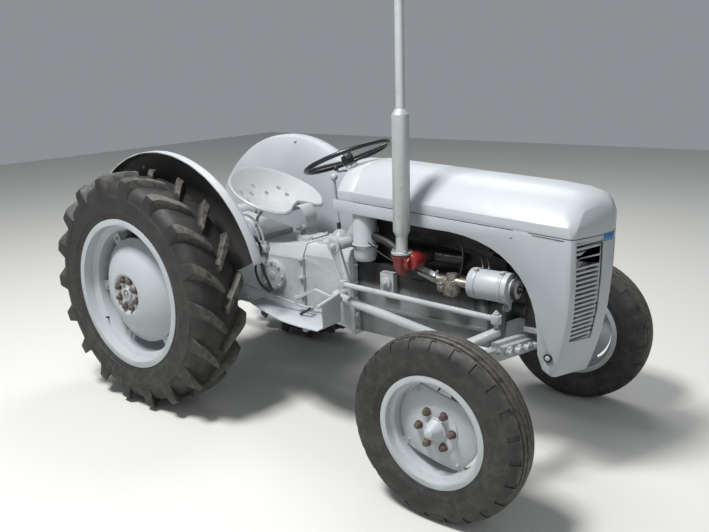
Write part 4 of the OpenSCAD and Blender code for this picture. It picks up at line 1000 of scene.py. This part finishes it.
    def electrics(self) -> None:
        """Add the dynamo's bands, pulley and fixings, and the leads of the plugs."""
        bench, y, z = self.bench, self.dynamo_y, self.dynamo_z
        bands = [self.band("dynamo_bands", 62.3, 15, 2.4) for _ in range(2)]
        for band, x in zip(bands, (1684, 1800)):
            bench.lay(band, (x, y, z), AHEAD, 200)
        bench.hang(bench.join("dynamo_bands", bands), Skin.CASTING, 0.5)
        groove = [
            (38.2, -0.6), (41, 0), (41, 4.5), (38.2, 6.5), (38.2, 13.5), (41, 15.5), (41, 20), (38.2, 20.6),
            (37, 20.6), (37, -0.6),
        ]
        bench.hang(bench.ring("dynamo_pulley", groove, 48), Skin.RUST, 0, [((1850, y, z), AHEAD)])
        bench.bolt_on(
            ("pulley_nut", 15, 12, 6, Skin.GRIME_AND_BAY_SHADE, 0.6, [((1870, y, z), AHEAD)]),
            ("terminals", 6, 7, 8, Skin.PLATED, 0.4, [((x, y + 6, z + 61),) for x in (1706, 1734)]),
            ("dynamo_foot_bolt", 12, 12, 8, Skin.PLATED, 0.6, [((1820, y - 11, z - 82), RIGHT)]),
        )
        wires = []
        for x, d in ((1706, 0), (1734, 7)):
            start = [(x, y + 6, z + 70), (x - 30, y + 40, z + 96)]
            run = [*start, (1560, -152 - d, 908 + d), (1190, -148 - d, 938 + d)]
            wires.append(bench.tube("wire", run, 3))
        bench.hang(bench.join("dynamo_wires", wires), Skin.HOSE)
        leads = []
        for i in range(4):
            plug = self.first_plug + self.plug_pitch * i
            start = [(1550 - 8 + 6 * i, 130, 884), (1530 - 20 * i, 150, 960 + 10 * i)]
            leads.append(bench.tube("lead", [*start, (plug + 14, 168, 962), (plug, 158, 939)], 3.6))
            cap = bench.turn("cap", [(10, 0), (11, 3), (8, 22), (5, 26)], 18)
            leads.append(bench.lay(cap, (plug, 148, 939), (0, 1, 0.2)))
        bench.hang(bench.join("plug_leads", leads), Skin.HOSE)

    def belt(self, name: str, wheels: Sequence[Sequence[float]]) -> None:
        """Stretch a belt round two pulleys.

        Args:
            name: The piece's name.
            wheels: X, Y, Z and radius of each pulley.
        """
        (xa, ya, za, ra), (xb, yb, zb, rb) = wheels
        lean = math.atan2(zb - za, yb - ya)
        open_by = math.acos((ra - rb) / math.hypot(yb - ya, zb - za))
        points = []
        for i in range(25):
            a = lean + open_by + i * (2 * math.pi - 2 * open_by) / 24
            points.append((xa, ya + ra * math.cos(a), za + ra * math.sin(a)))
        for i in range(17):
            a = lean - open_by + i * 2 * open_by / 16
            points.append((xb, yb + rb * math.cos(a), zb + rb * math.sin(a)))
        obj = self.bench.outline(name, points, "NOTHING")
        pull(self.belt_width, 0, 0)
        modify(obj, "SOLIDIFY", thickness=self.belt_thick * MM, offset=0)
        self.bench.hang(obj, Skin.HOSE, 1.2, [((0, 0, 0),)], angle=40)

    def bolts(self) -> None:
        """Bolt the sump, the timing cover and the bell housing, and nut the head."""
        flange = self.sump_flange_z
        under = [((1046 + 63 * i, s * 148, flange), DOWN, 13 * i) for i in range(11) for s in SIGNS]
        face = [((1760, s * 99, z), AHEAD) for s in SIGNS for z in (600, 670, 740, 810)]
        bell = [((1010.4, -167, z), AHEAD, z) for z in (446, 524, 604, 684, 768)]
        bell += [((1010.4, 167, z), AHEAD, z) for z in (446, 524, 720, 780)]
        head = [((1110 + 92 * i, s * 94, 983.2), UP, 20 * i) for i in range(6) for s in SIGNS]
        self.bench.bolt_on(
            ("sump_bolts", 7.5, 7, 0, Skin.GRIME_AND_BAY_SHADE, 0.5, under),
            ("timing_bolts", 8, 7, 0, Skin.GRIME_AND_BAY_SHADE, 0.5, face),
            ("bell_bolts", 11, 10, 4, Skin.CASTING, 0.6, bell),
            ("head_nuts", 10, 10, 4, Skin.GRIME_AND_BAY_SHADE, 0.5, head),
        )

    def hoses(self) -> None:
        """Add the oil filter and its cap, clamp the radiator's hose, and run the breather's."""
        bench = self.bench
        cap = bench.turn("filter_cap", [(26, 0), (27, 4), (27, 10), (20, 13), (9, 14), (9, 22), (7, 23)], 28)
        bench.hang(cap, Skin.CASTING, 0.6, [((1204, -184.5, 716), RIGHT)])
        clamps = [self.band("radiator_clamps", 20.4, 10) for _ in range(2)]
        for clamp, x in zip(clamps, (1690, 1864)):
            bench.lay(clamp, (x, -40, 1082), AHEAD, 80)
        bench.hang(bench.join("radiator_clamps", clamps), Skin.PLATED, 0.3)
        thin = [
            (1150, -160, 1010), (1240, -182, 1000), (1330, -214, 962), (1344, -228, 916), (1336, -226, 862),
            (1310, -176, 806),
        ]
        bench.hang(bench.tube("breather_hose", thin, 7), Skin.HOSE)
        case = bench.plate("filter_case", [(-39, -18), (39, -18), (39, 17), (-39, 17)], 98)
        bench.hang(case, Skin.CASTING, 6, [((1204, -167.5, 665),)])

    def build(self) -> None:
        """Make every fitting of the engine."""
        self.manifold()
        self.induction()
        self.electrics()
        self.belt("fan_belt", [(1831, 0, self.crank_z, 70), (1831, 0, self.fan_z, 46)])
        self.belt("dynamo_belt", [(1839, 0, self.fan_z, 46), (1854, self.dynamo_y, self.dynamo_z, 42)])
        self.bolts()
        self.hoses()


@dataclass
class CasingSide:
    """Fittings of the gearbox and rear casing: bolts, hydraulic pipes, levers and brake rods."""

    bench: Bench
    joint_x: float = 684.0
    case_w: float = 180.0
    cover_x: float = 490.0
    cover_z: float = 648.0

    def bolts(self) -> None:
        """Bolt the casing's joint, its round covers and its plugs."""
        bench, w = self.bench, self.case_w
        cast = Skin.CASTING
        joint = [((self.joint_x, s * (w + 9), z), (0, s, 0), z) for s in SIGNS for z in (489, 575, 660, 754)]
        bench.hang(bench.bolt("joint_bolts", 11, 9, 5), cast, 0.6, joint)
        steps = [(79, 0), (79, 3), (74, 4.5), (50, 4.5), (48, 3), (20, 3), (18, 5), (12, 6)]
        bench.hang(bench.turn("cover_rim", steps, 56), cast, 0.6, both(self.cover_x, w + 12, self.cover_z))
        heads = []
        for s in SIGNS:
            for i in range(8):
                x, z = 69 * math.cos(math.radians(45 * i)), 69 * math.sin(math.radians(45 * i))
                heads.append(((self.cover_x + x, s * (w + 16.4), self.cover_z + z), (0, s, 0), 21 * i))
        bench.hang(bench.bolt("cover_bolts", 8, 8), cast, 0.5, heads)
        plugs = both(618, w + 10, 507, 8) + both(276, w + 8, 495, 30)
        bench.hang(bench.turn("casing_plugs", [(9, 0), (9, 7), (7.6, 8.5)], 6), cast, 0.5, plugs)
        top = [((x, s * 62, 834), UP, x) for x in (572, 648) for s in SIGNS]
        bench.hang(bench.bolt("lid_bolts", 9, 8), cast, 0.5, top)

    def hydraulics(self) -> None:
        """Add the looped pipes, the quadrant and its lever."""
        bench, cast = self.bench, Skin.CASTING
        loops = (
            [(262, -176, 806), (246, -194, 858), (236, -202, 896), (262, -205, 934), (322, -204, 948),
             (386, -200, 926), (424, -194, 880), (440, -186, 792)],
            [(300, -176, 800), (282, -196, 852), (276, -204, 886), (298, -206, 910), (334, -205, 918),
             (376, -202, 898), (398, -196, 862), (410, -186, 790)],
        )
        pipes = [bench.tube("pipe", loop, 6) for loop in loops]
        bench.hang(bench.join("hydraulic_pipes", pipes), Skin.PANEL)
        ends = ((262, 800), (300, 794), (440, 792), (410, 790))
        unions = [((x, -178, z), (0, -0.35, 1), 9 * x) for x, z in ends]
        nut = bench.turn("pipe_unions", [(12, 0), (12, 12), (9.5, 14), (9.5, 24), (8, 26)], 6)
        bench.hang(nut, cast, 0.6, unions)
        block = bench.plate("valve_block", [(-34, -16), (30, -16), (34, -8), (34, 16), (-34, 16)], 40)
        bench.hang(block, cast, 3, [((281, -180, 776),)])
        block = bench.plate("junction_block", [(-30, -14), (30, -14), (30, 14), (-30, 14)], 36)
        bench.hang(block, cast, 3, [((425, -182, 758),)])
        sweep = [math.radians(a) for a in range(10, 171, 10)]
        arc = [(88 * math.cos(a), 88 * math.sin(a)) for a in sweep]
        arc += [(74 * math.cos(a), 74 * math.sin(a)) for a in reversed(sweep)]
        bench.hang(bench.plate("quadrant", arc, 6), Skin.RIM_COVER, 0.8, [((372, -222, 768), RIGHT)])
        # A black band along the dark curved strip beside the inspection cover; its black is partly painted
        # shadow of the mudguard's edge
        band = [
            (452, -226, 790), (436, -226, 734), (404, -224, 690), (402, -220, 640), (424, -214, 592),
            (476, -206, 556),
        ]
        bench.hang(bench.tube("quadrant_band", band, 6), Skin.HOSE)
        lever = [(404, -230, 772), (360, -232, 862), (306, -232, 950), (262, -230, 1004)]
        bench.hang(bench.tube("lift_lever", lever, 5), Skin.RIM_COVER)
        knob = bench.turn("lift_knob", [(5, -4), (11, -2), (14, 6), (14, 16), (11, 24), (5, 27)], 24)
        bench.hang(knob, Skin.SEAT, 0.5, [((262, -230, 1002), (-0.62, 0, 0.78))])
        bench.hang(bench.bolt("lever_pivot", 12, 10, 4), cast, 0.6, [((404, -235, 772), RIGHT)])

    def brakes(self) -> None:
        """Add the brake rods and their levers, and the strut and the stud under the seat."""
        bench = self.bench
        rods, levers = [], []
        for s in SIGNS:
            joint, outer = (396, s * 300, 612), s * 300
            rods.append(bench.tube("rod", [joint, (553, outer, 585), (841, outer, 558)], 5, False))
            rods.append(bench.tube("rod", [(300, s * 318, 632), joint], 5, False))
            cross = [(794, s * 326, 530), (826, s * 328, 548), (862, s * 330, 571)]
            levers.append(bench.tube("lever", cross, 6.5))
            pedal = [(420, s * 212, 744), (452, s * 214, 660), (500, s * 212, 574)]
            levers.append(bench.tube("lever", pedal, 7))
        bench.hang(bench.join("brake_rods", rods), Skin.SEAT, slot="paint")
        bench.hang(bench.join("brake_levers", levers), Skin.HOSE, 0.8)
        eye = bench.turn("rod_eyes", [(11, -8), (12, -6), (12, 6), (11, 8), (6, 9), (6, 14)], 24)
        bench.hang(eye, Skin.CASTING, 0.5, both(841, 300, 558))
        strut = [(352, -150, 880), (380, -168, 930), (420, -176, 966)]
        bench.hang(bench.tube("seat_strut", strut, 8, False), Skin.PANEL)
        stud = bench.turn("seat_stud", [(18, 0), (18, 6), (9, 9), (8, 60), (13, 61), (13, 70), (9, 72)], 20)
        bench.hang(stud, Skin.PANEL, 0.6, [((540, 0, 808),)])

    def build(self) -> None:
        """Make every fitting of the casing."""
        self.bolts()
        self.hydraulics()
        self.brakes()


@dataclass
class Cockpit:
    """Gear lever's boot and knob, the throttle, the gauges and the wheel's hub."""

    bench: Bench
    hub: Point = (848.0, 0.0, 1246.0)
    column: Point = (-0.394, 0.0, 0.919)
    knob: Point = (902, -150, 1206)
    dash_x: float = 964.6

    def build(self) -> None:
        """Make every fitting at the driver's place."""
        bench, up, hub = self.bench, Vector(self.column), Vector(self.hub)
        dome = [(52, 0), (53, 4), (44, 8), (38, 20), (28, 32), (16, 40), (11, 44)]
        bench.hang(bench.turn("lever_dome", dome, 36), Skin.PANEL, 0.8, [((788, 0, 842.5),)])
        bench.hang(bench.tube("lever_boot", [(785, 0, 882), (782, 0, 918)], 10, False), Skin.HOSE, 2)
        ball = [(6, -18), (13, -15), (17.6, -7), (18, 1), (16, 9), (12, 14), (5, 17.6)]
        bench.hang(bench.turn("lever_knob", ball, 28), Skin.PANEL, 0, [((762, 0, 1144),)])
        nut = bench.bolt("hub_nut", 17, 12, 5)
        bench.hang(nut, Skin.PLATED, 0.8, [(hub + up * 8.2, up)], "steering_wheel")
        arm = [hub - up * 66 + Vector((0, -20, 0)), (880, -70, 1192), (898, -130, 1196), self.knob]
        bench.hang(bench.tube("throttle_arm", arm, 5), Skin.PLATED)
        grip = bench.turn("throttle_knob", [(6, -3), (11, 0), (12, 9), (9, 17), (4, 19)], 24)
        bench.hang(grip, Skin.RIM_COVER, 0.4, [(self.knob, up)])
        collar = bench.ring("throttle_collar", [(22.3, 0), (29, 0), (29, 16), (22.3, 16)])
        bench.hang(collar, Skin.CASTING, 0.8, [(hub - up * 74, up)])
        for i, (y, z, r) in enumerate(((-110, 1150, 34), (0, 1176, 26), (112, 1150, 34))):
            seat = [((self.dash_x, y, z), ASTERN)]
            case = bench.turn("gauge_%d" % i, [(r, 0), (r + 2, 3), (r + 2, 9), (r - 3, 11)], 40)
            bench.hang(case, Skin.PLATED, 0.6, seat)
            bench.hang(bench.turn("dial_%d" % i, [(r - 4, 10.6), (r - 4, 11.4)], 40), Skin.HOSE, 0, seat)
            needle = bench.plate("needle_%d" % i, [(-2, -6), (2, -6), (1, r - 9), (-1, r - 9)], 0.8)
            bench.hang(needle, Skin.SEAT, 0, [((self.dash_x - 11.6, y, z), ASTERN, 40 + 70 * i)])


@dataclass
class BonnetTrim:
    """The plain nose plate, the seams and the cheek's rivets."""

    bench: Bench
    nose_x: float = 2155.0
    slant: float = 0.3

    def vee(self, name: str, half: float, height: float, proud: float) -> Piece:
        """Make a V-shaped plate that wraps the nose ridge.

        Args:
            name: The piece's name.
            half: Half its width.
            height: Its height.
            proud: How far it stands out of the sheet.

        Returns:
            The plate, standing on the drawing's ground plane.
        """
        steps = [half * i / 8 for i in range(-8, 9)]
        ridge = [self.nose_x - self.slant * max(abs(y), 5) + 1.5 for y in steps]
        front = [(x + proud, y) for x, y in zip(ridge, steps)]
        back = [(x - 5, y) for x, y in zip(ridge, steps)]
        return self.bench.plate(name, front + back[::-1], height)

    def build(self) -> None:
        """Make the bonnet's trim."""
        bench, body = self.bench, "bonnet"
        bench.hang(self.vee("badge_frame", 62, 36, 0.8), Skin.PLATED, 0.4, [((0, 0, 993),)], body)
        bench.hang(self.vee("badge_plate", 57, 30, 2.4), Skin.BADGE, 0.4, [((0, 0, 996),)], body)
        seam = []
        for s in SIGNS:
            points = ((1925, 235.4, 1029), (1990, 235.4, 1025), (2050, 234.8, 1021), (2080, 226, 1017))
            seam.append(bench.tube("seam", [(x, s * y, z) for x, y, z in points], 1.2))
        bench.hang(bench.join("cowl_seams", seam), Skin.HOSE, body=body)
        rivet = bench.turn("cheek_rivets", [(6, 0), (5, 2), (2.5, 3)], 16)
        bench.hang(rivet, Skin.CASTING, 0.3, both(1836.5, 234.6, 1012), body)


@dataclass
class FrontEnd:
    """Nuts of the steering and the axle beam, the bonnet's hinge caps and the guards' rivets."""

    bench: Bench

    def build(self) -> None:
        """Make the front end's and the mudguards' small fixings."""
        bench, cast = self.bench, Skin.CASTING
        row = ((1854.8, 346.1, 578.9), (1871.1, 292.6, 573.4), (1887.7, 237.9, 567.8), (1904, 184, 562))
        beam = [((x, s * y, z), (0.96, s * 0.28, 0), y) for s in SIGNS for x, y, z in row]
        bench.hang(bench.bolt("beam_bolts", 14, 12, 6), cast, 0.7, beam)
        caps = both(2004, 221, 540)
        # A black ring round each hinge pin: painted shade of the pin's hole
        rings = bench.turn("hinge_shade_rings", [(17, -3), (18, 0), (18, 3), (16, 4)], 32)
        bench.hang(rings, Skin.HOSE, 0.5, caps, "bonnet")
        bench.hang(bench.turn("hinge_heads", [(10, 3), (10, 6.5), (7, 9), (3, 9.6)], 28), cast, 0.4, caps)
        for letter, s in SIDES:
            top, arm = [((1873, s * 412, 747.6),)], [((985, s * 294.8, 880), (0, s, 0))]
            bench.hang(bench.bolt("steer_nut_" + letter, 12, 12, 6), cast, 0.7, top, "drag_link_" + letter)
            bench.hang(bench.bolt("arm_nut_" + letter, 16, 14, 6), cast, 0.7, arm, "drop_arm_" + letter)
        stay = [((x, s * 436, z), (0, -s, 0)) for s in SIGNS for x, z in ((-157.6, 1193.8), (112.5, 1253.6))]
        bench.hang(bench.turn("guard_rivets", [(8, -6), (8, 0), (6, 3), (3, 4.5)], 18), cast, 0, stay)


@dataclass
class Guards:
    """The mudguards, darkened on the side of the wheels: painted shade under the guards, with some thrown
    earth.
    """

    bench: Bench
    centre: tuple[float, float] = (50.0, 617.0)
    # Radius round the centre and distance from the middle plane, halfway through the sheet
    wall: tuple = ((0, 410.5), (470, 410.5), (560.5, 421), (621, 438), (659, 456), (669, 477))

    def shade_and_soil(self, place: Vector) -> float:
        """Give 1 to a point of the scene on the wheel's side of the sheet, or else 0."""
        point = (place - self.bench.datum.at(0, 0, 0)) / MM
        radius = math.hypot(point.x - self.centre[0], point.z - self.centre[1])
        for (r0, y0), (r1, y1) in zip(self.wall, self.wall[1:]):
            if r0 <= radius < r1:
                middle = y0 + (y1 - y0) * (radius - r0) / (r1 - r0)
                return 1.0 if abs(point.y) > middle else 0.0
        return 0.0

    def build(self) -> None:
        """Dress both guards and mark the side towards the wheels, which is painted dark as shade, with some
        earth.
        """
        self.bench.mark(self.bench.dress("mudguards", Skin.GUARD, 0.8), "shade_and_soil", self.shade_and_soil)


@dataclass
class Camera:
    """The photographer's place, seen from the tractor's right front."""

    place: tuple[float, float, float] = (2.41788, -2.84961, 1.67302)
    azimuth: float = 38.242
    elevation: float = 14.934
    roll: float = -1.635
    focal_px: float = 751.07
    frame_px: int = 709
    sensor: float = 36.0

    def build(self) -> None:
        """Make the scene's camera."""
        a, e, r = (math.radians(v) for v in (self.azimuth, self.elevation, self.roll))
        back = Vector((math.sin(a) * math.cos(e), -math.cos(a) * math.cos(e), math.sin(e)))
        right = Vector((math.cos(a), math.sin(a), 0.0))
        up = back.cross(right)
        turned_right = right * math.cos(r) + up * math.sin(r)
        turned_up = up * math.cos(r) - right * math.sin(r)
        data = bpy.data.cameras.new("camera")
        data.sensor_width = self.sensor
        data.lens = self.focal_px * self.sensor / self.frame_px
        obj = bpy.data.objects.new("camera", data)
        bpy.context.scene.collection.objects.link(obj)
        turn = Matrix((turned_right, turned_up, back)).transposed().to_4x4()
        obj.matrix_world = Matrix.Translation(self.place) @ turn
        bpy.context.scene.camera = obj


@dataclass
class Studio:
    """A pale floor, a soft key light and an even sky."""

    floor_half: float = 12.0
    floor_tone: str = "C4C4C0"
    floor_roughness: float = 0.85
    key_power: float = 730.0
    sky_tone: str = "E6ECF2"
    sky_strength: float = 0.34
    aim: Point = (0, 0, 0.6)

    def floor(self) -> None:
        """Lay the floor."""
        bpy.ops.object.select_all(action="DESELECT")
        bpy.ops.mesh.primitive_plane_add(size=2 * self.floor_half, location=(0, 0, 0))
        floor = bpy.context.object
        floor.name = "studio_floor"
        material = bpy.data.materials.new("studio_floor_paint")
        material.use_nodes = True
        shader = material.node_tree.nodes["Principled BSDF"]
        shader.inputs["Base Color"].default_value = linear(self.floor_tone)
        shader.inputs["Roughness"].default_value = self.floor_roughness
        floor.data.materials.append(material)
        floor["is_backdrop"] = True

    def build(self) -> None:
        """Make the floor, the lights and the world."""
        self.floor()
        # Name, place, size and share of the key's power of each light
        for name, spot, size, share in (
            ("key", (-0.5, -3.2, 6.8), 1.5, 1.0),
            ("fill", (4.5, -4.0, 3.0), 5.0, 0.08),
            ("rim", (-1.0, 3.0, 6.0), 3.0, 0.22),
        ):
            light = bpy.data.lights.new(name, "AREA")
            light.energy = self.key_power * share
            light.size = size
            lamp = bpy.data.objects.new(name, light)
            lamp.location = spot
            lamp.rotation_mode = "QUATERNION"
            lamp.rotation_quaternion = (Vector(spot) - Vector(self.aim)).to_track_quat("Z", "Y")
            bpy.context.scene.collection.objects.link(lamp)
        world = bpy.data.worlds.new("sky")
        world.use_nodes = True
        background = world.node_tree.nodes["Background"]
        background.inputs["Color"].default_value = linear(self.sky_tone)
        background.inputs["Strength"].default_value = self.sky_strength
        bpy.context.scene.world = world
        bpy.context.scene.view_settings.view_transform = "Standard"


def corners() -> list[list[float]]:
    """Read the lowest and highest corners of the shown object's box."""
    low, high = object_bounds()
    return [list(low), list(high)]


def main() -> None:
    """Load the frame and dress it."""
    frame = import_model()
    Camera().build()
    Studio().build()
    bodies = frame["record"]["behaviour"]["bodies"]
    body_of = {node: body for body, names in bodies.items() for node in names}
    spin = next(j for j in frame["joints"] if j["name"] == "rear_wheel_spin_l")
    bench = Bench(Datum(spin["pos_m"][0]), frame["nodes"], body_of)
    for assembly in (
        Castings, RearWheels, FrontWheels, EngineSide, CasingSide, Cockpit, BonnetTrim, FrontEnd, Guards
    ):
        assembly(bench).build()


if __name__ == "__main__":
    logging.basicConfig(level=logging.INFO)
    main()
